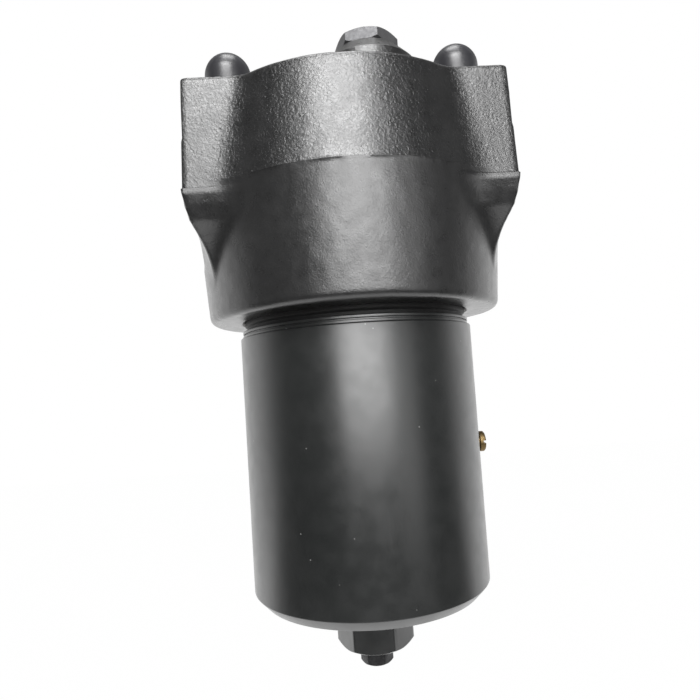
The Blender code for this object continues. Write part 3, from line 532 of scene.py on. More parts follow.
class Nodes:
    """A node tree that is put together node by node."""

    def __init__(self, tree: bpy.types.NodeTree, coordinates: str) -> None:
        """Keep the tree and read its coordinates.

        Args:
            tree: The tree.
            coordinates: Which texture coordinates it works in.
        """
        self.tree = tree
        self.coordinates = self.node("ShaderNodeTexCoord").outputs[coordinates]
        axes = self.node("ShaderNodeSeparateXYZ")
        self.plug(self.coordinates, axes.inputs[0])
        self.x, self.y, self.z = axes.outputs

    def node(self, kind: str) -> bpy.types.ShaderNode:
        """Add a node to the left of the others.

        Args:
            kind: Type of the node.

        Returns:
            The node.
        """
        made = self.tree.nodes.new(kind)
        made.location.x = -NODE_SPACING * (1 + len(self.tree.nodes) // 4)
        return made

    def plug(self, value: object, socket: bpy.types.NodeSocket) -> None:
        """Join an output to an input, or set the input to a number.

        Args:
            value: An output socket or a number.
            socket: The input.
        """
        if isinstance(value, bpy.types.NodeSocket):
            self.tree.links.new(value, socket)
        else:
            socket.default_value = value

    def calc(self, operation: str, first: object, second: object = 0.0) -> bpy.types.NodeSocket:
        """Work out one sum of two values.

        Args:
            operation: Name of the sum.
            first: An output or a number.
            second: Another output or number.

        Returns:
            The result.
        """
        made = self.node("ShaderNodeMath")
        made.operation = operation
        self.plug(first, made.inputs[0])
        self.plug(second, made.inputs[1])
        return made.outputs[0]

    def fit(
        self,
        value: bpy.types.NodeSocket,
        low: float,
        high: float,
        to_low: float = 0.0,
        to_high: float = 1.0,
    ) -> bpy.types.NodeSocket:
        """Map a stretch of values smoothly to another, held at its ends.

        Args:
            value: The value.
            low: Start of the stretch.
            high: End of the stretch.
            to_low: What the start becomes.
            to_high: What the end becomes.

        Returns:
            The mapped value.
        """
        made = self.node("ShaderNodeMapRange")
        made.interpolation_type = "SMOOTHSTEP"
        self.plug(value, made.inputs["Value"])
        names = ("From Min", "From Max", "To Min", "To Max")
        for name, number in zip(names, (low, high, to_low, to_high)):
            made.inputs[name].default_value = number
        return made.outputs["Result"]

    def ray(self, kind: str) -> bpy.types.NodeSocket:
        """One where a ray of this kind looks, such as Is Camera Ray, and otherwise zero."""
        return self.node("ShaderNodeLightPath").outputs[kind]


class Shader(Nodes):
    """A Principled material that is put together node by node."""

    def __init__(
        self,
        name: str,
        colour: Sequence[float],
        roughness: float,
        metallic: float = 0.0,
        specular: float = 0.5,
        coat: float = 0.0,
    ) -> None:
        """Make the material and set its plain values.

        Args:
            name: Name of the material.
            colour: Base colour as red, green and blue.
            roughness: Roughness.
            metallic: One for bare metal.
            specular: Specular level, a half for common paint.
            coat: Weight of the clear film on top.
        """
        self.material = bpy.data.materials.new(name)
        self.material.use_nodes = True
        self.material.diffuse_color = (*colour, 1.0)
        super().__init__(self.material.node_tree, "Object")
        self.principled = self.tree.nodes["Principled BSDF"]
        settings = {
            "Base Color": (*colour, 1.0),
            "Roughness": roughness,
            "Metallic": metallic,
            "Specular IOR Level": specular,
            "Coat Weight": coat,
            "Coat Roughness": roughness,
        }
        for setting, value in settings.items():
            self.principled.inputs[setting].default_value = value

    def stretched(self, stretch: Sequence[float]) -> bpy.types.NodeSocket:
        """Scale the piece's coordinates along each axis.

        Args:
            stretch: The three scales.

        Returns:
            The scaled coordinates.
        """
        mapping = self.node("ShaderNodeMapping")
        mapping.inputs["Scale"].default_value = stretch
        self.tree.links.new(self.coordinates, mapping.inputs["Vector"])
        return mapping.outputs["Vector"]

    def noise(
        self,
        size: float,
        detail: float = 2.0,
        roughness: float = 0.5,
        distortion: float = 0.0,
        stretch: Optional[Sequence[float]] = None,
    ) -> bpy.types.NodeSocket:
        """Soft noise with features of a real size.

        Args:
            size: Size of a feature, in metres.
            detail: Finer layers.
            roughness: Strength of the finer layers.
            distortion: How far it is bent.
            stretch: Scale along each axis, where it isn't even.

        Returns:
            A value of about a half, from zero to one.
        """
        made = self.node("ShaderNodeTexNoise")
        made.inputs["Scale"].default_value = 1.0 / size
        made.inputs["Detail"].default_value = detail
        made.inputs["Roughness"].default_value = roughness
        made.inputs["Distortion"].default_value = distortion
        source = self.stretched(stretch) if stretch else self.coordinates
        self.tree.links.new(source, made.inputs["Vector"])
        return made.outputs["Fac"]

    def cells(self, size: float, feature: str = "F1", shift: float = 0.0) -> bpy.types.NodeSocket:
        """Distance to the nearest of scattered points.

        Args:
            size: Spacing of the points, in metres.
            feature: Which distance is taken.
            shift: Moves the points to another scatter.

        Returns:
            The distance as a share of the spacing.
        """
        made = self.node("ShaderNodeTexVoronoi")
        made.feature = feature
        made.inputs["Scale"].default_value = 1.0 / size
        mapping = self.node("ShaderNodeMapping")
        mapping.inputs["Location"].default_value = (shift, shift, shift)
        self.tree.links.new(self.coordinates, mapping.inputs["Vector"])
        self.tree.links.new(mapping.outputs["Vector"], made.inputs["Vector"])
        return made.outputs["Distance"]

    def tint(self, share: object, first: object, second: Sequence[float]) -> bpy.types.NodeSocket:
        """A colour between two colours.

        Args:
            share: Zero for the first and one for the second.
            first: A colour, or an output that gives one.
            second: The other colour.

        Returns:
            The mixed colour.
        """
        made = self.node("ShaderNodeMix")
        made.data_type = "RGBA"
        self.plug(share, made.inputs[0])
        self.plug(first if isinstance(first, bpy.types.NodeSocket) else (*first, 1.0), made.inputs[6])
        self.plug((*second, 1.0), made.inputs[7])
        return made.outputs[2]

    def relief(self, layers: Sequence[tuple[bpy.types.NodeSocket, float]], edge: float = 0.0) -> None:
        """Raise the surface by layers of bump.

        Args:
            layers: Pairs of a value and the height that one stands for, in metres.
            edge: Radius that sharp edges seem to have, or zero.
        """
        total: object = 0.0
        for value, height in layers:
            total = self.calc("ADD", total, self.calc("MULTIPLY", value, height))
        bump = self.node("ShaderNodeBump")
        bump.inputs["Strength"].default_value = 1.0
        bump.inputs["Distance"].default_value = 1.0
        self.plug(total, bump.inputs["Height"])
        if edge:
            softened = self.node("ShaderNodeBevel")
            softened.samples = 4
            softened.inputs["Radius"].default_value = edge
            self.tree.links.new(softened.outputs["Normal"], bump.inputs["Normal"])
        self.tree.links.new(bump.outputs["Normal"], self.principled.inputs["Normal"])

    def set(self, name: str, value: bpy.types.NodeSocket) -> None:
        """Drive one of the shader's inputs."""
        self.plug(value, self.principled.inputs[name])

    def vary(self, value: bpy.types.NodeSocket, middle: float, spread: tuple[float, float]) -> None:
        """Let the roughness follow a noise, as far below and above its middle as spread says."""
        ends = (middle - spread[0], middle + spread[1])
        self.set("Roughness", self.fit(value, *PATCH_SPAN, *ends))

    def stain(self, share: bpy.types.NodeSocket, first: object, second: Sequence[float]) -> None:
        """Let the colour lie between two colours."""
        self.set("Base Color", self.tint(share, first, second))


@dataclass(frozen=True)
class CastPaint:
    """Semi-gloss black paint over a sand-cast skin, coarser above the parting line."""

    parting: float
    ledge: float
    border: float = 0.0004
    boss_start: float = 0.0500
    boss_end: float = 0.0520
    colour: tuple[float, float, float] = (0.011, 0.011, 0.0112)
    worn_colour: tuple[float, float, float] = (0.020, 0.020, 0.020)
    dust_colour: tuple[float, float, float] = (0.45, 0.45, 0.44)
    roughness: float = 0.31
    coat: float = 0.7
    grain: float = 0.0009
    grain_height: float = 0.00020
    peel: float = 0.00055
    peel_height: float = 0.00006
    swell: float = 0.0060
    swell_height: float = 0.00010
    lower_share: float = 0.28
    pit_spacing: float = 0.0170
    pit_depth: float = 0.00025
    pit_edge: tuple[float, float] = (0.018, 0.036)
    dust_spacing: float = 0.0120
    dust_edge: tuple[float, float] = (0.013, 0.020)
    cloud: float = 0.0120
    cloud_edge: tuple[float, float] = (0.40, 0.75)
    cloud_share: float = 0.35
    dust_share: float = 0.5
    pebble_size: float = 1.4
    pebble_share: float = 0.5
    patch: float = 0.004
    spread: tuple[float, float] = (0.04, 0.05)
    edge: float = 0.0004

    def make(self) -> bpy.types.Material:
        """Make the finish as a material.

        Returns:
            The material.
        """
        name = "cast_black_paint_finish"
        shader = Shader(name, self.colour, self.roughness, specular=1.0, coat=self.coat)
        above = shader.fit(shader.z, self.parting - self.border, self.parting + self.border)
        outward = shader.calc("ABSOLUTE", shader.x)
        on_boss = shader.fit(outward, self.boss_start, self.boss_end)
        over_ledge = shader.fit(shader.z, self.ledge, self.ledge + self.border)
        rough = shader.calc("MAXIMUM", above, shader.calc("MULTIPLY", on_boss, over_ledge))
        coarse = shader.fit(rough, 0.0, 1.0, self.lower_share, 1.0)
        pebbles = shader.cells(self.grain * self.pebble_size, "SMOOTH_F1")
        strokes = shader.noise(self.grain, 3.0, roughness=0.55, distortion=0.6)
        skin = shader.calc("ADD", strokes, shader.calc("MULTIPLY", pebbles, -self.pebble_share))
        skin = shader.calc("MULTIPLY", skin, coarse)
        peel = shader.noise(self.peel, 2.0)
        swell = shader.noise(self.swell, 2.0)
        pits = shader.fit(shader.cells(self.pit_spacing), *self.pit_edge, 1.0, 0.0)
        layers = (
            (skin, self.grain_height),
            (peel, self.peel_height),
            (swell, self.swell_height),
            (pits, -self.pit_depth),
        )
        shader.relief(layers, self.edge)
        dust = shader.fit(shader.cells(self.dust_spacing, shift=0.4), *self.dust_edge, 1.0, 0.0)
        cloud = shader.fit(shader.noise(self.cloud, 3.0), *self.cloud_edge)
        cloud = shader.calc("MULTIPLY", cloud, self.cloud_share)
        base = shader.tint(cloud, self.colour, self.worn_colour)
        shader.stain(shader.calc("MULTIPLY", dust, self.dust_share), base, self.dust_colour)
        shader.vary(shader.noise(self.patch, 2.0), self.roughness, self.spread)
        return shader.material


@dataclass(frozen=True)
class SatinPaint:
    """Satin black paint on a turned bowl, with fine orange peel and stray dust."""

    colour: tuple[float, float, float] = (0.0078, 0.0092, 0.0090)
    worn_colour: tuple[float, float, float] = (0.014, 0.0145, 0.0145)
    dust_colour: tuple[float, float, float] = (0.16, 0.16, 0.155)
    roughness: float = 0.33
    coat: float = 0.7
    peel: float = 0.0009
    peel_height: float = 0.000010
    wave: float = 0.011
    wave_height: float = 0.00002
    wave_stretch: tuple[float, float, float] = (1.0, 1.0, 0.35)
    edge: float = 0.0003
    speck_spacing: float = 0.0085
    speck_edge: tuple[float, float] = (0.026, 0.036)
    cloud: float = 0.020
    cloud_edge: tuple[float, float] = (0.35, 0.75)
    cloud_share: float = 0.30
    patch: float = 0.006
    spread: tuple[float, float] = (0.03, 0.05)

    def make(self) -> bpy.types.Material:
        """Make the finish as a material.

        Returns:
            The material.
        """
        name = "satin_black_paint_finish"
        shader = Shader(name, self.colour, self.roughness, specular=1.0, coat=self.coat)
        peel = shader.noise(self.peel, 2.0)
        wave = shader.noise(self.wave, 1.0, stretch=self.wave_stretch)
        shader.relief(((peel, self.peel_height), (wave, self.wave_height)), self.edge)
        specks = shader.fit(shader.cells(self.speck_spacing, shift=0.21), *self.speck_edge, 1.0, 0.0)
        cloud = shader.fit(shader.noise(self.cloud, 3.0), *self.cloud_edge)
        cloud = shader.calc("MULTIPLY", cloud, self.cloud_share)
        base = shader.tint(cloud, self.colour, self.worn_colour)
        shader.stain(specks, base, self.dust_colour)
        shader.vary(shader.noise(self.patch, 3.0), self.roughness, self.spread)
        return shader.material


@dataclass(frozen=True)
class TurnedMetal:
    """Machined metal with fine tool marks round an axis."""

    name: str
    colour: tuple[float, float, float]
    dark_colour: tuple[float, float, float]
    roughness: float
    metallic: float
    mark: float = 0.00035
    mark_height: float = 0.000006
    mark_stretch: tuple[float, float, float] = (0.12, 0.12, 1.0)
    grain: float = 0.0011
    edge: float = 0.0002
    stain_size: float = 0.005
    stain_edge: tuple[float, float] = (0.42, 0.72)
    stain: float = 0.35
    spread: tuple[float, float] = (0.06, 0.10)

    def make(self) -> bpy.types.Material:
        """Make the finish as a material.

        Returns:
            The material.
        """
        shader = Shader(self.name, self.colour, self.roughness, self.metallic)
        marks = shader.noise(self.mark, 2.0, stretch=self.mark_stretch)
        grain = shader.noise(self.grain, 2.0)
        shader.relief(((marks, self.mark_height), (grain, self.mark_height)), self.edge)
        stains = shader.fit(shader.noise(self.stain_size, 4.0, roughness=0.6), *self.stain_edge)
        share = shader.calc("MULTIPLY", stains, self.stain)
        shader.stain(share, self.colour, self.dark_colour)
        shader.vary(grain, self.roughness, self.spread)
        return shader.material


@dataclass(frozen=True)
class Moulded:
    """Moulded rubber or plastic with a faint grain."""

    name: str
    colour: tuple[float, float, float]
    pale_colour: tuple[float, float, float]
    roughness: float
    specular: float
    grain: float = 0.0006
    grain_height: float = 0.000010
    edge: float = 0.0002
    cloud: float = 0.004
    cloud_edge: tuple[float, float] = (0.40, 0.75)
    cloud_share: float = 0.5
    spread: tuple[float, float] = (0.04, 0.06)

    def make(self) -> bpy.types.Material:
        """Make the finish as a material.

        Returns:
            The material.
        """
        shader = Shader(self.name, self.colour, self.roughness, specular=self.specular)
        grain = shader.noise(self.grain, 3.0)
        shader.relief(((grain, self.grain_height),), self.edge)
        cloud = shader.fit(shader.noise(self.cloud, 3.0), *self.cloud_edge)
        share = shader.calc("MULTIPLY", cloud, self.cloud_share)
        shader.stain(share, self.colour, self.pale_colour)
        shader.vary(grain, self.roughness, self.spread)
        return shader.material


@dataclass(frozen=True)
class FibreMedia:
    """Off-white pleated fibre with the print of its support mesh."""

    colour: tuple[float, float, float] = (0.80, 0.77, 0.68)
    shade_colour: tuple[float, float, float] = (0.62, 0.58, 0.48)
    mesh: float = 0.0011
    mesh_height: float = 0.00003
    fibre: float = 0.0005
    fibre_height: float = 0.00005
    roughness: float = 0.85

    def make(self) -> bpy.types.Material:
        """Make the finish as a material.

        Returns:
            The material.
        """
        shader = Shader("pleated_media_finish", self.colour, self.roughness)
        wires = shader.calc("SINE", shader.calc("MULTIPLY", shader.z, FULL_TURN / self.mesh))
        fibre = shader.noise(self.fibre, 4.0, roughness=0.7)
        shader.relief(((wires, self.mesh_height), (fibre, self.fibre_height)))
        shader.stain(fibre, self.shade_colour, self.colour)
        return shader.material


class Finishes:
    """Every finish of the filter, made once."""

    def __init__(self, parting: float, ledge: float) -> None:
        """Make the materials.

        Args:
            parting: Height of the head's parting line.
            ledge: Height of the small ledge on its port bosses.
        """
        self.cast = CastPaint(parting, ledge).make()
        self.satin = SatinPaint().make()
        metals = (
            ("machined_iron", (0.33, 0.32, 0.31), (0.12, 0.11, 0.10), 0.36, 1.0),
            ("blackened_steel", (0.16, 0.16, 0.165), (0.06, 0.06, 0.062), 0.42, 0.6),
            # painted shade: a darker copy of the blackened steel, for the drain plug low under the bowl
            # where less light falls
            ("dark_steel", (0.045, 0.045, 0.047), (0.020, 0.020, 0.021), 0.38, 0.6),
            ("brass", (0.24, 0.17, 0.08), (0.10, 0.07, 0.03), 0.45, 1.0),
            ("bright_steel", (0.62, 0.62, 0.63), (0.40, 0.39, 0.36), 0.28, 1.0),
        )
        self.bare, self.black_steel, self.dark_steel, self.brass, self.bright = (
            TurnedMetal(name + "_finish", *values).make() for name, *values in metals
        )
        mouldings = (
            ("cap_black", (0.030, 0.030, 0.034), (0.055, 0.055, 0.060), 0.33, 1.0),
            ("seal_rubber", (0.014, 0.014, 0.014), (0.030, 0.030, 0.030), 0.55, 0.5),
            # painted shade: a dark, dull finish for the bowl's neck, standing in for the shade in the
            # gap under the head
            ("painted_neck_shade", (0.009, 0.009, 0.009), (0.016, 0.016, 0.016), 0.55, 0.5),
            ("backup_white", (0.80, 0.79, 0.74), (0.70, 0.68, 0.61), 0.42, 0.5),
        )
        self.cap, self.rubber, self.oiled, self.backup = (
            Moulded(name + "_finish", *values).make() for name, *values in mouldings
        )
        self.media = FibreMedia().make()


@dataclass
class HeadCasting:
    """The cast head: rough casting, then milled, bored and threaded."""

    finishes: Finishes
    draft_below: float = 0.0035
    draft_above: float = 0.0040
    top: float = 0.2240
    top_round: float = 0.0020
    parting: float = 0.1860
    foot_fillet: float = 0.0028
    boss_reach: float = 0.0596
    boss_half_width: float = 0.0470
    boss_draft: float = 0.0010
    boss_corner: float = 0.0010
    ledge_step: float = 0.0004
    ledge_drop: float = 0.0024
    skirt_height: float = 0.0079
    skirt_draft: float = 0.0008
    strip_height: float = 0.0015
    skirt_tuck: float = 0.0014
    bend_tuck: float = 0.0034
    flare: float = 0.0115
    side_flare: float = 0.0215
    flare_height: float = 0.0250
    flare_round: float = 0.0022
    top_fillet: float = 0.0034
    ledge_fillet: float = 0.0062
    flare_fillet: float = 0.0070
    flash_width: float = 0.0005
    flash_height: float = 0.00030
    flash_scales: tuple[float, float] = (170.0, 520.0)
    flash_mix: tuple[float, float, float] = (0.55, 0.6, 0.5)
    thread_lead: float = 0.0012
    thread_depth: float = 0.0010
    spigot_round: float = 0.0008
    chamber_round: float = 0.0010
    seal_lead: float = 0.0015
    mouth_height: float = 0.0010
    mouth_width: float = 0.0030
    swell: float = 0.00007
    ripple: float = 0.00005
    swell_scales: tuple[float, float] = (95.0, 260.0)
    port_face: float = 0.0582
    face_radius: float = 0.0460
    face_stock: float = 0.0100
    port_height: float = 0.20545
    port_radius: float = 0.01515
    port_depth: float = 0.0200
    port_pitch: float = 0.0023
    port_thread_depth: float = 0.0012
    port_margins: tuple[float, float] = (0.0015, 0.0002)
    port_mouth: float = 0.0018
    port_mouth_width: float = 0.0038
    passage: float = 0.0120
    drop_radius: float = 0.0110
    drop_wall: float = 0.0010
    spigot_radius: float = 0.0180
    outlet_radius: float = 0.0125
    spigot_end: float = 0.1685
    chamber: float = 0.0442
    chamber_floor: float = 0.1750
    chamber_ceiling: float = 0.1845
    seal_bore: float = 0.0436
    thread_bore: float = 0.0458
    thread_top: float = 0.1640
    thread_pitch: float = 0.0020
    indicator_x: float = 0.0131
    indicator_radius: float = 0.0210
    indicator_cone: float = 0.0070
    indicator_face_radius: float = 0.0143
    indicator_bore: float = 0.0092
    indicator_depth: float = 0.0150
    indicator_pitch: float = 0.0015
    indicator_thread_depth: float = 0.0008
    indicator_margins: tuple[float, float] = (0.0010, 0.0004)
    cone_blend: float = 0.0004
    shoulder_blend: float = 0.0012
    root_fillet: float = 0.0030
    root_width: float = 0.0035
    root_depth: float = 0.0040
    indicator_seal: float = 0.0007
    sense_offset: float = 0.0072
    sense_radius: float = 0.0014
    sense_margin: float = 0.0020
    hole_x: float = 0.0431
    hole_y: float = 0.0310
    hole_radius: float = 0.0051
    hole_depth: float = 0.0160
    ring_spacing: float = 0.0011
    steps: int = 512

    def __post_init__(self) -> None:
        """Take the main sizes from the frame and work out the bosses' levels."""
        low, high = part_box("filter_head")
        self.base = low.z
        self.indicator_face = high.z
        self.parting_radius = high.y
        self.base_radius = self.parting_radius - self.draft_below
        self.top_radius = self.parting_radius - self.draft_above
        self.ledge = self.parting - self.ledge_drop
        self.skirt_base = self.ledge - self.skirt_height
        self.flare_base = self.skirt_base - self.flare_height
        bend = self.flare_round / self.flare_height
        self.levels = (
            (self.flare_base, self.skirt_draft + self.flare, self.skirt_draft + self.side_flare),
            (self.skirt_base - self.flare_round, self.skirt_draft + self.flare * bend, self.bend_tuck),
            (self.skirt_base + self.flare_round, self.skirt_draft, self.skirt_tuck),
            (self.ledge - self.strip_height, self.skirt_draft / 4.0, 0.0),
            (self.ledge, 0.0, 0.0),
            (self.ledge + self.ledge_step, self.ledge_step, self.ledge_step),
            (self.top, self.ledge_step + self.boss_draft, self.ledge_step + self.boss_draft),
        )

    def body_radius(self, height: float) -> float:
        """Radius of the round body, without its edge roundings.

        Args:
            height: Height along Z.

        Returns:
            The radius there.
        """
        if height >= self.parting:
            share = (height - self.parting) / (self.top - self.parting)
            return self.parting_radius - self.draft_above * share
        fall = self.draft_below * (self.parting - height) / (self.parting - self.base)
        return self.parting_radius - fall

    def boss_half(self, height: float) -> tuple[float, float]:
        """Size of the boss block above its flare's base.

        Args:
            height: Height along Z.

        Returns:
            Half its length along X and along Y.
        """
        for low, high in zip(self.levels, self.levels[1:]):
            if height <= high[0]:
                share = (height - low[0]) / (high[0] - low[0])
                inset_x = low[1] + (high[1] - low[1]) * share
                inset_y = low[2] + (high[2] - low[2]) * share
                return self.boss_reach - inset_x, self.boss_half_width - inset_y
        return self.boss_reach - self.levels[-1][1], self.boss_half_width - self.levels[-1][2]

    def boss_radius(self, angle: float, height: float) -> float:
        """Distance from the axis to the boss block's side.

        Args:
            angle: Direction about Z, in radians.
            height: Height along Z.

        Returns:
            The distance, or zero below the flare.
        """
        if height <= self.flare_base:
            return 0.0
        half_x, half_y = self.boss_half(height)
        across, along = abs(math.cos(angle)), abs(math.sin(angle))
        straight_x = half_x - self.boss_corner
        straight_y = half_y - self.boss_corner
        if half_x * along <= straight_y * across:
            return half_x / across
        if half_y * across <= straight_x * along:
            return half_y / along
        nearest = straight_x * across + straight_y * along
        spare = nearest**2 - straight_x**2 - straight_y**2 + self.boss_corner**2
        return nearest + math.sqrt(max(0.0, spare))

    def fillet_at(self, height: float) -> float:
        """Reach of the fillet beside the bosses, which grows down the flare.

        Args:
            height: Height along Z.

        Returns:
            The reach there.
        """
        if height >= self.ledge:
            share = (height - self.ledge) / (self.top - self.ledge)
            return self.ledge_fillet + (self.top_fillet - self.ledge_fillet) * share
        share = min(1.0, (self.ledge - height) / self.flare_height)
        return self.ledge_fillet + (self.flare_fillet - self.ledge_fillet) * share

    def skin_radius(self, angle: float, height: float) -> float:
        """Distance from the axis to the casting's side, fillets included.

        Args:
            angle: Direction about Z, in radians.
            height: Height along Z.

        Returns:
            The distance.
        """
        body = self.body_radius(height)
        boss = self.boss_radius(angle, height)
        fillet = self.fillet_at(height)
        near = max(0.0, 1.0 - abs(boss - body) / fillet)
        return max(body, boss) + fillet / 4.0 * near**2

    def drum(self) -> Piece:
        """Turn the round body as a fine skin, with a ring at each level of the bosses.

        Returns:
            The drum.
        """
        marks = [self.parting + self.flash_width, self.parting, self.parting - self.flash_width]
        marks += [level[0] for level in reversed(self.levels[:-1])]
        corners = [Corner(0.0, self.top), Corner(self.top_radius, self.top, self.top_round)]
        corners += [Corner(self.body_radius(height), height) for height in marks]
        corners += [Corner(self.base_radius, self.base, self.foot_fillet), Corner(0.0, self.base)]
        casting = Piece("filter_casting", self.finishes.cast)
        return casting.turn(corners, self.steps, arc_steps=4, spacing=self.ring_spacing)

    def flash(self, place: Vector) -> float:
        """Height of the parting flash, a torn ridge that fades within its own width.

        Args:
            place: A point of the skin.

        Returns:
            How far the flash stands out there.
        """
        if math.hypot(place.x, place.y) > self.parting_radius + self.flash_width:
            return 0.0
        near = max(0.0, 1.0 - abs(place.z - self.parting) / (self.flash_width * 1.5))
        long, short = (noise.noise(place * scale) for scale in self.flash_scales)
        level, long_share, short_share = self.flash_mix
        torn = level + long_share * long + short_share * short
        return near * self.flash_height * max(0.0, min(1.0, torn))

    def cast(self) -> Piece:
        """Draw the drum's skin out to the bosses, with swells and parting flash.

        Returns:
            The rough casting.
        """
        casting = self.drum()
        for vert in casting.bm.verts:
            angle = math.atan2(vert.co.y, vert.co.x)
            height = vert.co.z
            drawn = self.skin_radius(angle, height) / self.body_radius(height)
            vert.co.x *= drawn
            vert.co.y *= drawn
        casting.bm.normal_update()
        for vert in casting.bm.verts:
            if vert.normal.z > FLAT_NORMAL:
                continue
            long, short = (noise.noise(vert.co * scale) for scale in self.swell_scales)
            swell = self.swell * long + self.ripple * short
            vert.co += vert.normal * (min(0.0, swell - self.swell) + self.flash(vert.co))
            vert.co.y = max(-self.parting_radius, min(self.parting_radius, vert.co.y))
        return casting

    def indicator_boss(self) -> Piece:
        """Turn the boss with the cone that the indicator plug sits on.

        Returns:
            The boss, in place.
        """
        shoulder = self.indicator_face - self.indicator_cone
        corners = (
            Corner(0.0, self.indicator_face),
            Corner(self.indicator_face_radius, self.indicator_face, self.cone_blend),
            Corner(self.indicator_radius, shoulder, self.shoulder_blend),
            Corner(self.indicator_radius, self.top, self.root_fillet),
            Corner(self.indicator_radius + self.root_width, self.top - FINE_BLEND),
            Corner(self.indicator_radius + self.root_width, self.top - self.root_depth),
            Corner(0.0, self.top - self.root_depth),
        )
        boss = Piece("indicator_boss", self.finishes.cast).turn(corners, steps=96, arc_steps=5)
        return boss.move(placed(self.indicator_x))

    def cavity(self) -> Piece:
        """Shape what is bored out from below and leaves the spigot standing.

        Returns:
            The tool.
        """
        ends = (self.base + self.thread_lead, self.thread_top)
        thread = Thread(
            *ends, self.thread_bore, self.thread_pitch, self.thread_depth, Flank.INTO_WALL
        )
        corners = (
            Corner(0.0, self.port_height + OVERCUT),
            Corner(self.outlet_radius, self.port_height + OVERCUT),
            Corner(self.outlet_radius, self.spigot_end, SOFT_BLEND),
            Corner(self.spigot_radius, self.spigot_end, self.spigot_round),
            Corner(self.spigot_radius, self.chamber_ceiling, self.chamber_round),
            Corner(self.chamber, self.chamber_ceiling, self.chamber_round),
            Corner(self.chamber, self.chamber_floor, SEAT_GAP),
            Corner(self.seal_bore, self.chamber_floor, EDGE_BLEND),
            Corner(self.seal_bore, self.thread_top + self.seal_lead, EDGE_BLEND),
            Corner(self.thread_bore, self.thread_top + SEAT_GAP),
            Corner(self.thread_bore, self.base + self.mouth_height),
            Corner(self.thread_bore + self.mouth_width, self.base - OVERCUT),
            Corner(0.0, self.base - OVERCUT),
        )
        return Piece("cavity", self.finishes.bare).turn(corners, steps=128, threads=(thread,))

    def port_tool(self, sign: int, inner_end: float) -> Piece:
        """Threaded port with its mouth and the passage behind it.

        Args:
            sign: One for the inlet and minus one for the outlet.
            inner_end: How far from the axis the passage ends.

        Returns:
            The tool, in place.
        """
        floor = self.port_face - self.port_depth
        mouth = self.port_face - self.port_mouth
        ends = (floor + self.port_margins[0], mouth - self.port_margins[1])
        thread = Thread(
            *ends, self.port_radius, self.port_pitch, self.port_thread_depth, Flank.INTO_WALL
        )
        corners = (
            Corner(0.0, self.port_face + OVERCUT),
            Corner(self.port_radius + self.port_mouth_width, self.port_face + OVERCUT),
            Corner(self.port_radius, mouth),
            Corner(self.port_radius, floor, 2.0 * EDGE_BLEND),
            Corner(self.passage, floor, SOFT_BLEND),
            Corner(self.passage, inner_end),
            Corner(0.0, inner_end),
        )
        tool = Piece("port", self.finishes.bare).turn(corners, steps=72, threads=(thread,))
        return tool.move(placed(z=self.port_height, quarters=sign))

    def facing_tool(self, sign: int) -> Piece:
        """Shape the cutter that faces a port boss.

        Args:
            sign: One for the inlet and minus one for the outlet.

        Returns:
            The tool, in place.
        """
        end = self.port_face + self.face_stock
        tool = Piece("facing", self.finishes.cast).bar(self.face_radius, self.port_face, end, 128)
        return tool.move(placed(z=self.port_height, quarters=sign))

    def indicator_tool(self) -> Piece:
        """Shape the bore for the indicator plug, with its seal's recess.

        Returns:
            The tool, in place.
        """
        recess = self.indicator_face - 2.0 * self.indicator_seal - SEAT_GAP
        recess_radius = self.indicator_bore + 2.0 * self.indicator_seal
        floor = self.indicator_face - self.indicator_depth
        ends = (floor + self.indicator_margins[0], recess - self.indicator_margins[1])
        pitch, depth = self.indicator_pitch, self.indicator_thread_depth
        thread = Thread(*ends, self.indicator_bore, pitch, depth, Flank.INTO_WALL)
        corners = (
            Corner(0.0, self.indicator_face + OVERCUT),
            Corner(recess_radius, self.indicator_face + OVERCUT),
            Corner(recess_radius, recess),
            Corner(self.indicator_bore, recess),
            Corner(self.indicator_bore, floor),
            Corner(0.0, floor),
        )
        tool = Piece("indicator_bore", self.finishes.bare).turn(corners, steps=64, threads=(thread,))
        return tool.move(placed(self.indicator_x))

    def drills(self) -> list[Piece]:
        """Shape the inlet's drop, the sense drillings and the bracket holes.

        Returns:
            The tools, in place.
        """
        drop_x = self.spigot_radius + self.drop_radius + self.drop_wall
        drop_ends = (self.chamber_ceiling - OVERCUT, self.port_height + OVERCUT)
        sense_ends = (self.port_height, self.indicator_face - self.indicator_depth + OVERCUT)
        hole_ends = (self.top - self.hole_depth, self.top + OVERCUT)
        rows = [("drop", self.drop_radius, drop_ends, 48, drop_x, 0.0)]
        for sign in (1, -1):
            x = self.indicator_x + sign * self.sense_offset
            rows.append(("sense", self.sense_radius, sense_ends, 16, x, 0.0))
        for sign_x in (-1, 1):
            for sign_y in (-1, 1):
                x, y = sign_x * self.hole_x, sign_y * self.hole_y
                rows.append(("hole", self.hole_radius, hole_ends, 32, x, y))
        return [
            Piece(name, self.finishes.bare).bar(radius, *ends, sides).move(placed(x, y))
            for name, radius, ends, sides, x, y in rows
        ]

    def build(self) -> None:
        """Cast, machine and show the head."""
        head = self.cast()
        head.combine(self.indicator_boss(), Operation.JOIN)
        machining = self.cavity()
        sense_end = self.sense_offset - self.sense_margin
        for sign in (1, -1):
            inner_end = sign * self.indicator_x + sense_end
            machining.combine(self.port_tool(sign, inner_end), Operation.JOIN)
            machining.combine(self.facing_tool(sign), Operation.JOIN)
        for drill in (self.indicator_tool(), *self.drills()):
            machining.combine(drill, Operation.JOIN)
        head.combine(machining, Operation.CUT)
        head.show(Body.HEAD, Slot.CAST_PAINT, "filter_head")


